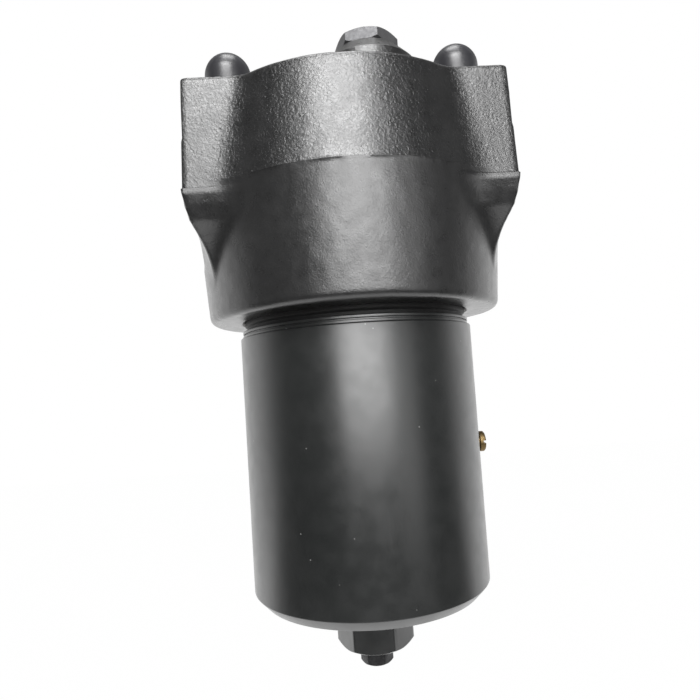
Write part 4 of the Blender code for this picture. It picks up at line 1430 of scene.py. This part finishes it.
@dataclass
class BracketCaps:
    """Domed caps in the four bracket holes."""

    finishes: Finishes
    radius: float = 0.0086
    skirt: float = 0.0063
    stem_radius: float = 0.0048
    stem_length: float = 0.0080
    stem_edge: float = 0.0003
    count: int = 4

    def build(self) -> None:
        """Model each cap where its node is."""
        for index in range(1, self.count + 1):
            node = "bracket_hole_cap_" + str(index)
            low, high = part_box(node)
            seat = low.z + self.stem_length
            centre = placed((low.x + high.x) / 2.0, (low.y + high.y) / 2.0, seat)
            angles = [math.pi / 2.0 * step / DOME_STEPS for step in range(DOME_STEPS + 1)]
            dome = [
                Corner(self.radius * math.sin(angle), self.skirt + self.radius * math.cos(angle))
                for angle in angles
            ]
            corners = dome + [
                Corner(self.radius, 0.0, SOFT_BLEND),
                Corner(self.stem_radius, 0.0, self.stem_edge),
                Corner(self.stem_radius - self.stem_edge, -self.stem_length, SOFT_BLEND),
                Corner(0.0, -self.stem_length),
            ]
            cap = Piece("domed_cap_" + str(index), self.finishes.cap).turn(corners, steps=64)
            cap.move(centre).show(Body.HEAD, Slot.CAP, node)


@dataclass(frozen=True)
class Hexagon:
    """A spanner hexagon whose corners are turned off at one or both ends."""

    flats: float
    base: float
    top: float
    turn: float
    low_chamfer: float = 0.0
    high_chamfer: float = 0.0
    edge: float = 0.00025
    spare: float = 0.0010

    def make(self, name: str, finish: bpy.types.Material) -> Piece:
        """Model the bar.

        Args:
            name: Name of the piece.
            finish: Material of its faces.

        Returns:
            The piece.
        """
        apothem = self.flats / 2.0
        corner = apothem / math.cos(math.pi / HEXAGON_SIDES)
        slope = CHAMFER_SLOPE
        spare = self.spare
        bar = Piece(name, finish).bar(corner, self.base, self.top, HEXAGON_SIDES, self.turn)
        outline: list[Corner] = []
        ends = ((self.top, 1.0, self.high_chamfer), (self.base, -1.0, self.low_chamfer))
        for end, out, chamfer in ends:
            level = end + out * spare * (slope if chamfer else 1.0)
            corners = [Corner(0.0, level)]
            if chamfer:
                rim = corner - apothem + chamfer
                corners += [
                    Corner(apothem - chamfer - spare, level),
                    Corner(corner + spare, end - out * (rim + spare) * slope),
                ]
            else:
                corners += [Corner(corner + spare, level)]
            outline += corners if out > 0.0 else reversed(corners)
        bar.combine(Piece("lathe", finish).turn(outline, steps=96), Operation.KEEP)
        bmesh.ops.dissolve_limit(
            bar.bm, angle_limit=FLAT_ANGLE, verts=bar.bm.verts, edges=bar.bm.edges
        )
        upright = [
            edge
            for edge in bar.bm.edges
            if edge.calc_face_angle(0.0) > CORNER_ANGLE
            and abs((edge.verts[0].co - edge.verts[1].co).normalized().z) > UPRIGHT
        ]
        bmesh.ops.bevel(
            bar.bm,
            geom=upright,
            offset=self.edge,
            offset_type="OFFSET",
            segments=2,
            profile=0.5,
            affect="EDGES",
            material=-1,
        )
        return bar


@dataclass
class IndicatorPlug:
    """The hexagon plug of the indicator boss and its seal."""

    finishes: Finishes
    flats: float = 0.0240
    head_height: float = 0.0061
    turn: float = math.radians(-44.8)
    low_chamfer: float = 0.0008
    high_chamfer: float = 0.0003
    shank_radius: float = 0.0089
    tip_chamfer: float = 0.0006
    pitch: float = 0.0015
    thread_depth: float = 0.0008
    margins: tuple[float, float] = (0.0008, 0.0016)
    seal_cord: float = 0.0007

    def build(self) -> None:
        """Model the plug and its seal."""
        low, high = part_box("indicator_plug")
        seal_low, seal_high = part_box("indicator_plug_seal")
        axis = placed((seal_low.x + seal_high.x) / 2.0)
        seat = high.z - self.head_height
        steel = self.finishes.black_steel
        hexagon = Hexagon(self.flats, seat, high.z, self.turn, self.low_chamfer, self.high_chamfer)
        head = hexagon.make("indicator_hexagon_plug", steel)
        ends = (low.z + self.margins[0], seat - self.margins[1])
        thread = Thread(*ends, self.shank_radius, self.pitch, self.thread_depth, Flank.INTO_SHAFT)
        shank = (
            Corner(0.0, seat + OVERCUT),
            Corner(self.shank_radius, seat + OVERCUT),
            Corner(self.shank_radius, low.z + self.tip_chamfer),
            Corner(self.shank_radius - self.tip_chamfer, low.z),
            Corner(0.0, low.z),
        )
        head.combine(Piece("shank", steel).turn(shank, steps=64, threads=(thread,)), Operation.JOIN)
        head.move(axis).show(Body.INDICATOR_PLUG, Slot.BLACK_STEEL, "indicator_plug")
        centre = (seal_high.x - seal_low.x) / 2.0 - self.seal_cord
        height = (seal_low.z + seal_high.z) / 2.0
        seal = Piece("indicator_seal_ring", self.finishes.rubber)
        seal.cord_ring(centre, self.seal_cord, height).move(axis)
        seal.show(Body.INDICATOR_SEAL, Slot.RUBBER, "indicator_plug_seal")


@dataclass
class FilterBowl:
    """The turned bowl with its neck, thread, seal groove and hexagon, and its seals."""

    finishes: Finishes
    hexagon_height: float = 0.0220
    hexagon_flats: float = 0.0270
    hexagon_turn: float = math.radians(23.0)
    hexagon_chamfer: float = 0.0010
    hexagon_edge: float = 0.0004
    wall: float = 0.0100
    floor: float = 0.0120
    floor_fillet: float = 0.0060
    foot_width: float = 0.0038
    foot_height: float = 0.0041
    body_height: float = 0.1044
    shoulder_edge: float = 0.0005
    neck_step: float = 0.0020
    ring_depth: float = 0.0010
    ring_height: float = 0.0011
    groove_depth: float = 0.0007
    groove_height: float = 0.0005
    relief_height: float = 0.0024
    relief_depth: float = 0.0009
    relief_blend: float = 0.0004
    mouth_round: float = 0.0008
    mouth_chamfer: float = 0.0012
    spigot_step: float = 0.0022
    thread_length: float = 0.0240
    neck_gap: float = 0.0061
    thread_pitch: float = 0.0020
    thread_depth: float = 0.0011
    thread_margins: tuple[float, float] = (0.0020, 0.0014)
    seal_land: float = 0.0025
    seal_cord: float = 0.0012
    backup_height: float = 0.0012
    seal_steps: int = 128
    drain_hole: float = 0.0036
    drain_thread: float = 0.0051
    drain_length: float = 0.0130
    drain_pitch: float = 0.0010
    drain_thread_depth: float = 0.0005
    drain_margin: float = 0.0008
    bleed_height: float = 0.0855
    bleed_spot: float = 0.0048
    bleed_spot_depth: float = 0.0002
    bleed_thread: float = 0.0030

    def __post_init__(self) -> None:
        """Take the main sizes from the frame and work out the heights above them."""
        low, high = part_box("filter_bowl")
        self.radius = high.x
        self.foot = low.z + self.hexagon_height
        self.mouth = high.z
        self.inside = self.radius - self.wall
        self.shoulder = self.foot + self.body_height
        self.thread_radius = self.radius - self.neck_step
        self.spigot = self.thread_radius - self.spigot_step
        self.thread_top = self.shoulder + self.neck_gap + self.thread_length
        self.groove_base = self.thread_top + self.seal_land
        self.groove_top = self.groove_base + 2.0 * self.seal_cord + self.backup_height + 3.0 * SEAT_GAP
        self.groove_radius = self.spigot - 2.0 * self.seal_cord - SEAT_GAP

    def outline(self) -> list[Corner]:
        """Draw the bowl from its floor's inside up, over the mouth, and down outside.

        Returns:
            The corners.
        """
        ring = self.thread_radius + self.ring_depth
        ring_top = self.shoulder + 2.0 * self.ring_height + self.groove_height
        relief = self.thread_radius - self.relief_depth
        fine = EDGE_BLEND
        return [
            Corner(0.0, self.foot + self.floor),
            Corner(self.inside, self.foot + self.floor, self.floor_fillet),
            Corner(self.inside, self.mouth, self.mouth_round),
            Corner(self.spigot - self.mouth_chamfer / 2.0, self.mouth, fine),
            Corner(self.spigot, self.mouth - self.mouth_chamfer, fine),
            Corner(self.spigot, self.groove_top, fine),
            Corner(self.groove_radius, self.groove_top),
            Corner(self.groove_radius, self.groove_base),
            Corner(self.spigot, self.groove_base, fine),
            Corner(self.spigot, self.thread_top),
            Corner(self.thread_radius, self.thread_top - self.mouth_chamfer),
            Corner(self.thread_radius, ring_top + self.relief_height),
            Corner(relief, ring_top + self.relief_height - self.relief_depth, self.relief_blend),
            Corner(relief, ring_top, self.relief_blend),
            Corner(ring, ring_top, fine),
            Corner(ring, ring_top - self.ring_height, fine),
            Corner(ring - self.groove_depth, ring_top - self.ring_height),
            Corner(ring - self.groove_depth, self.shoulder + self.ring_height),
            Corner(ring, self.shoulder + self.ring_height, fine),
            Corner(ring, self.shoulder, fine),
            Corner(self.radius, self.shoulder, self.shoulder_edge),
            Corner(self.radius, self.foot + self.foot_height, SOFT_BLEND),
            Corner(self.radius - self.foot_width, self.foot, self.shoulder_edge),
            Corner(0.0, self.foot),
        ]

    def build(self) -> None:
        """Model the bowl and the two rings of its seal."""
        satin, bare = self.finishes.satin, self.finishes.bare
        ring_top = self.shoulder + 2.0 * self.ring_height + self.groove_height
        head_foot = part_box("filter_head")[0].z
        ends = (head_foot + self.thread_margins[0], self.thread_top - self.thread_margins[1])
        thread = Thread(
            *ends, self.thread_radius, self.thread_pitch, self.thread_depth, Flank.INTO_SHAFT
        )
        bowl = Piece("turned_bowl", satin)
        bowl.turn(self.outline(), steps=160, threads=(thread,), arc_steps=4)
        low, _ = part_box("filter_bowl")
        hexagon = Hexagon(
            self.hexagon_flats,
            low.z,
            self.foot + OVERCUT,
            self.hexagon_turn,
            self.hexagon_chamfer,
            edge=self.hexagon_edge,
        )
        bowl.combine(hexagon.make("bowl_hexagon", satin), Operation.JOIN)
        ends = (low.z + self.drain_margin, low.z + self.drain_length - self.drain_margin)
        drain_thread = Thread(
            *ends, self.drain_thread, self.drain_pitch, self.drain_thread_depth, Flank.INTO_WALL
        )
        drain = (
            Corner(0.0, self.foot + self.floor + OVERCUT),
            Corner(self.drain_hole, self.foot + self.floor + OVERCUT),
            Corner(self.drain_hole, low.z + self.drain_length),
            Corner(self.drain_thread, low.z + self.drain_length),
            Corner(self.drain_thread, low.z - OVERCUT),
            Corner(0.0, low.z - OVERCUT),
        )
        bowl.combine(Piece("drain", bare).turn(drain, steps=48, threads=(drain_thread,)), Operation.CUT)
        spot = self.radius - self.bleed_spot_depth
        bleed = (
            Corner(0.0, spot + OVERCUT),
            Corner(self.bleed_spot, spot + OVERCUT),
            Corner(self.bleed_spot, spot),
            Corner(self.bleed_thread, spot),
            Corner(self.bleed_thread, self.inside - OVERCUT),
            Corner(0.0, self.inside - OVERCUT),
        )
        at_bleed = placed(z=self.bleed_height, quarters=1)
        bowl.combine(Piece("bleed", bare).turn(bleed, steps=48).move(at_bleed), Operation.CUT)
        self.paint_shade_on_neck(bowl, ring_top)
        bowl.show(Body.BOWL, Slot.SATIN_PAINT, "filter_bowl")
        self.build_seals()

    def paint_shade_on_neck(self, bowl: Piece, ring_top: float) -> None:
        """Give the neck above the rings its own dark, dull finish: painted shade that stands in for the
        shade in the gap under the head.

        Args:
            bowl: The bowl, with its paint on every outer face.
            ring_top: Height of the top of the rings.
        """
        paint = bowl.finishes.index(self.finishes.satin)
        # painted shade: the faces above the rings take the dark neck finish in place of the shade under
        # the head
        bowl.finishes.append(self.finishes.oiled)
        for face in bowl.bm.faces:
            middle = face.calc_center_median()
            if face.material_index == paint and middle.z > ring_top:
                face.material_index = len(bowl.finishes) - 1

    def build_seals(self) -> None:
        """The O-ring and the split back-up ring in the spigot's groove."""
        ring_low, ring_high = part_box("bowl_o_ring")
        height = (ring_low.z + ring_high.z) / 2.0
        centre = self.spigot - self.seal_cord
        seal = Piece("bowl_seal_ring", self.finishes.rubber)
        seal.cord_ring(centre, self.seal_cord, height, self.seal_steps)
        seal.show(Body.BOWL_SEALS, Slot.RUBBER, "bowl_o_ring")
        low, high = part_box("bowl_backup_ring")
        radii = (self.spigot - 2.0 * self.seal_cord, self.spigot)
        backup = Piece("bowl_backup_washer", self.finishes.backup)
        backup.washer(radii, (low.z, high.z), self.seal_steps)
        backup.show(Body.BOWL_SEALS, Slot.BACKUP, "bowl_backup_ring")


@dataclass
class DrainPlug:
    """The small plug at the foot of the bowl and its washer."""

    finishes: Finishes
    flats: float = 0.0115
    head_height: float = 0.0060
    turn: float = math.radians(23.0)
    low_chamfer: float = 0.0008
    shank_radius: float = 0.0048
    tip_chamfer: float = 0.0005
    pitch: float = 0.0010
    thread_depth: float = 0.0005
    margins: tuple[float, float] = (0.0022, 0.0006)

    def build(self) -> None:
        """Model the plug and its washer."""
        low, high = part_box("drain_plug")
        # painted shade: the drain plug takes the darker copy of the blackened steel, for the low light
        # at the bowl's foot
        steel = self.finishes.dark_steel
        hexagon = Hexagon(self.flats, low.z, low.z + self.head_height, self.turn, self.low_chamfer)
        head = hexagon.make("drain_hexagon_plug", steel)
        ends = (low.z + self.head_height + self.margins[0], high.z - self.margins[1])
        thread = Thread(*ends, self.shank_radius, self.pitch, self.thread_depth, Flank.INTO_SHAFT)
        shank = (
            Corner(0.0, high.z),
            Corner(self.shank_radius - self.tip_chamfer, high.z),
            Corner(self.shank_radius, high.z - self.tip_chamfer),
            Corner(self.shank_radius, low.z + self.head_height / 2.0),
            Corner(0.0, low.z + self.head_height / 2.0),
        )
        head.combine(Piece("shank", steel).turn(shank, steps=48, threads=(thread,)), Operation.JOIN)
        head.show(Body.DRAIN_PLUG, Slot.BLACK_STEEL, "drain_plug")
        base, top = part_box("drain_plug_washer")
        washer = Piece("drain_washer_ring", self.finishes.bright)
        radii = (self.shank_radius + SEAT_GAP, top.x)
        washer.washer(radii, (base.z, top.z), rim_blend=EDGE_BLEND)
        washer.show(Body.DRAIN_WASHER, Slot.BRIGHT_STEEL, "drain_plug_washer")


@dataclass
class BleedScrew:
    """The slotted brass screw in the bowl's side and its washer."""

    finishes: Finishes
    shank_radius: float = 0.0027
    head_rim: float = 0.0015
    head_height: float = 0.0024
    slot_width: float = 0.0011
    slot_depth: float = 0.0011
    pitch: float = 0.0010
    thread_depth: float = 0.0005
    margins: tuple[float, float] = (0.0006, 0.0014)
    head_chamfer: float = 0.0005

    def build(self) -> None:
        """Model the screw and its washer."""
        low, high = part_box("bleed_screw")
        head_base = high.x - self.head_height
        height = (low.z + high.z) / 2.0
        head_radius = self.shank_radius + self.head_rim
        length = head_base - low.x
        ends = (-length + self.margins[0], -self.margins[1])
        thread = Thread(*ends, self.shank_radius, self.pitch, self.thread_depth, Flank.INTO_SHAFT)
        corners = (
            Corner(0.0, self.head_height),
            Corner(head_radius - self.head_chamfer, self.head_height, EDGE_BLEND),
            Corner(head_radius, self.head_height - self.head_chamfer, EDGE_BLEND),
            Corner(head_radius, 0.0, EDGE_BLEND),
            Corner(self.shank_radius, 0.0),
            Corner(self.shank_radius, -length),
            Corner(0.0, -length),
        )
        brass = self.finishes.brass
        screw = Piece("bleed_slotted_screw", brass).turn(corners, steps=64, threads=(thread,))
        half = self.slot_width / 2.0
        floor = self.head_height - self.slot_depth
        low_corner = (-half, -2.0 * OVERCUT - head_radius, floor)
        high_corner = (half, 2.0 * OVERCUT + head_radius, self.head_height + OVERCUT)
        screw.combine(Piece("slot", brass).block(low_corner, high_corner), Operation.CUT)
        screw.move(placed(head_base, 0.0, height, 1))
        screw.show(Body.BLEED_SCREW, Slot.BRASS, "bleed_screw")
        base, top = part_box("bleed_screw_washer")
        radii = (self.shank_radius + SEAT_GAP, head_radius)
        washer = Piece("bleed_washer_ring", brass).washer(radii, (0.0, top.x - base.x))
        washer.move(placed(base.x, 0.0, height, 1))
        washer.show(Body.BLEED_WASHER, Slot.BRASS, "bleed_screw_washer")


class InnerPieces:
    """The pieces inside that keep their solids and take a better finish."""

    def __init__(self, finishes: Finishes) -> None:
        """Keep the finishes.

        Args:
            finishes: The filter's finishes.
        """
        self.by_node = {
            "element_top_cap": finishes.bright,
            "element_bottom_cap": finishes.bright,
            "element_core": finishes.bright,
            "element_media": finishes.media,
            "element_o_ring": finishes.rubber,
            "bypass_cage": finishes.bright,
            "bypass_poppet": finishes.black_steel,
            "bypass_spring": finishes.bright,
        }

    def build(self) -> None:
        """Give each solid its finish."""
        for node, finish in self.by_node.items():
            for material_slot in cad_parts[node].material_slots:
                material_slot.material = finish
            LOG.info("%s keeps its solid", node)


@dataclass(frozen=True)
class Softbox:
    """A flat soft lamp that faces a point of the filter."""

    name: str
    place: tuple[float, float, float]
    width: float
    height: float
    radiance: float
    aim: tuple[float, float, float] = (0.0, 0.0, 0.15)

    def hang(self) -> None:
        """Make the lamp."""
        lamp = bpy.data.lights.new(self.name, "AREA")
        lamp.shape = "RECTANGLE"
        lamp.size = self.width
        lamp.size_y = self.height
        lamp.energy = self.radiance * self.width * self.height * math.pi
        holder = bpy.data.objects.new(self.name, lamp)
        bpy.context.scene.collection.objects.link(holder)
        holder.location = self.place
        beam = Vector(self.aim) - Vector(self.place)
        holder.rotation_euler = beam.to_track_quat("-Z", "Y").to_euler()
        holder.visible_camera = False


@dataclass
class Studio:
    """White surroundings, soft lamps, a pale floor and the camera."""

    floor_height: float = -0.30
    floor_size: float = 6.0
    floor_colour: tuple[float, float, float] = (0.86, 0.86, 0.85)
    floor_roughness: float = 0.9
    floor_glow: float = 0.995
    room_depth: tuple[float, ...] = (-0.20, 0.50, 0.12, 1.0)
    room_height: tuple[float, ...] = (0.30, 0.62, 1.0, 0.25)
    front_floor_strength: float = 0.08
    floor_near: float = 0.38
    floor_far: float = 0.54
    camera_distance: float = 0.24805
    camera_height: float = 0.1122
    lens: float = 30.34
    sensor: float = 36.0
    pitch: float = 0.061
    roll: float = -0.067
    yaw: float = -0.011
    side_turn: float = 0.059
    clip: tuple[float, float] = (0.01, 20.0)
    softboxes: tuple[Softbox, ...] = (
        Softbox("high_window", (-0.08, -1.05, 1.12), 0.90, 0.48, 11.2),
        Softbox("middle_window", (-0.10, -1.20, 0.74), 0.74, 0.32, 2.2),
        Softbox("low_window", (0.09, -1.25, 0.36), 1.06, 0.50, 5.2),
        Softbox("top_window", (0.0, -0.10, 1.40), 0.60, 0.60, 5.5),
        Softbox("side_window", (0.80, -0.95, 0.12), 0.40, 0.80, 0.9),
    )

    def white_world(self) -> None:
        """White to the eye and to reflections from behind, dimmer towards the camera's side."""
        world = bpy.data.worlds.new("white_room")
        bpy.context.scene.world = world
        world.use_nodes = True
        nodes = Nodes(world.node_tree, "Generated")
        behind = nodes.fit(nodes.y, *self.room_depth)
        ceiling = nodes.fit(nodes.z, *self.room_height)
        room = nodes.calc("MULTIPLY", behind, ceiling)
        background = world.node_tree.nodes["Background"]
        background.inputs["Color"].default_value = (1.0, 1.0, 1.0, 1.0)
        strength = nodes.calc("MAXIMUM", room, nodes.ray("Is Camera Ray"))
        nodes.plug(strength, background.inputs["Strength"])

    def floor(self) -> None:
        """A pale floor well below the hanging filter, white to the eye and to reflections."""
        shader = Shader("pale_floor", self.floor_colour, self.floor_roughness)
        ground = Piece("floor", shader.material)
        size = self.floor_size / 2.0
        place = placed(z=self.floor_height)
        bmesh.ops.create_grid(ground.bm, x_segments=1, y_segments=1, size=size, matrix=place)
        squares = [shader.calc("MULTIPLY", axis, axis) for axis in (shader.x, shader.y)]
        distance = shader.calc("SQRT", shader.calc("ADD", *squares))
        near = shader.fit(distance, self.floor_near, self.floor_far, 1.0, self.front_floor_strength)
        back = shader.fit(shader.y, 0.0, self.floor_near, 0.0, 1.0)
        eye = shader.ray("Is Camera Ray")
        glow = shader.node("ShaderNodeEmission")
        strength = shader.calc("MAXIMUM", eye, shader.calc("MAXIMUM", near, back))
        shader.plug(strength, glow.inputs["Strength"])
        seen = shader.calc("MAXIMUM", eye, shader.ray("Is Glossy Ray"))
        mix = shader.node("ShaderNodeMixShader")
        share = shader.calc("MULTIPLY", seen, self.floor_glow)
        parts = (share, shader.principled.outputs[0], glow.outputs[0])
        for part, socket in zip(parts, mix.inputs):
            shader.plug(part, socket)
        shader.plug(mix.outputs[0], shader.tree.nodes["Material Output"].inputs["Surface"])
        floor = ground.as_object()
        ground.bm.free()

    def camera(self) -> None:
        """The photograph's viewpoint: near the filter, a little to its left and above its middle."""
        turn = Matrix.Rotation(-self.side_turn, 3, "Z")
        forward = Vector(
            (
                math.sin(self.yaw) * math.cos(self.pitch),
                math.cos(self.yaw) * math.cos(self.pitch),
                math.sin(self.pitch),
            )
        )
        level = Vector((math.cos(self.yaw), -math.sin(self.yaw), 0.0))
        upright = level.cross(forward)
        right = math.cos(self.roll) * level + math.sin(self.roll) * upright
        up = -math.sin(self.roll) * level + math.cos(self.roll) * upright
        axes = [turn @ axis for axis in (right, up, -forward)]
        place = turn @ Vector((0.0, -self.camera_distance, 0.0))
        place.z = self.camera_height
        lens = bpy.data.cameras.new("camera")
        lens.lens = self.lens
        lens.sensor_width = self.sensor
        lens.clip_start, lens.clip_end = self.clip
        camera = bpy.data.objects.new("camera", lens)
        bpy.context.scene.collection.objects.link(camera)
        rotation = Matrix((axes[0], axes[1], axes[2])).transposed().to_4x4()
        camera.matrix_world = Matrix.Translation(place) @ rotation
        bpy.context.scene.camera = camera

    def build(self) -> None:
        """Set up everything round the filter."""
        self.white_world()
        self.floor()
        for softbox in self.softboxes:
            softbox.hang()
        self.camera()
        bpy.context.scene.view_settings.view_transform = "Standard"


def main() -> None:
    """Build the filter's pieces in order, then the studio."""
    logging.basicConfig(level=logging.INFO, format="%(name)s: %(message)s")
    finishes = Finishes(HeadCasting.parting, HeadCasting.parting - HeadCasting.ledge_drop)
    assemblies = (
        HeadCasting(finishes),
        BracketCaps(finishes),
        IndicatorPlug(finishes),
        FilterBowl(finishes),
        DrainPlug(finishes),
        BleedScrew(finishes),
        InnerPieces(finishes),
    )
    for assembly in assemblies:
        assembly.build()
    Studio().build()


if __name__ == "__main__":
    main()
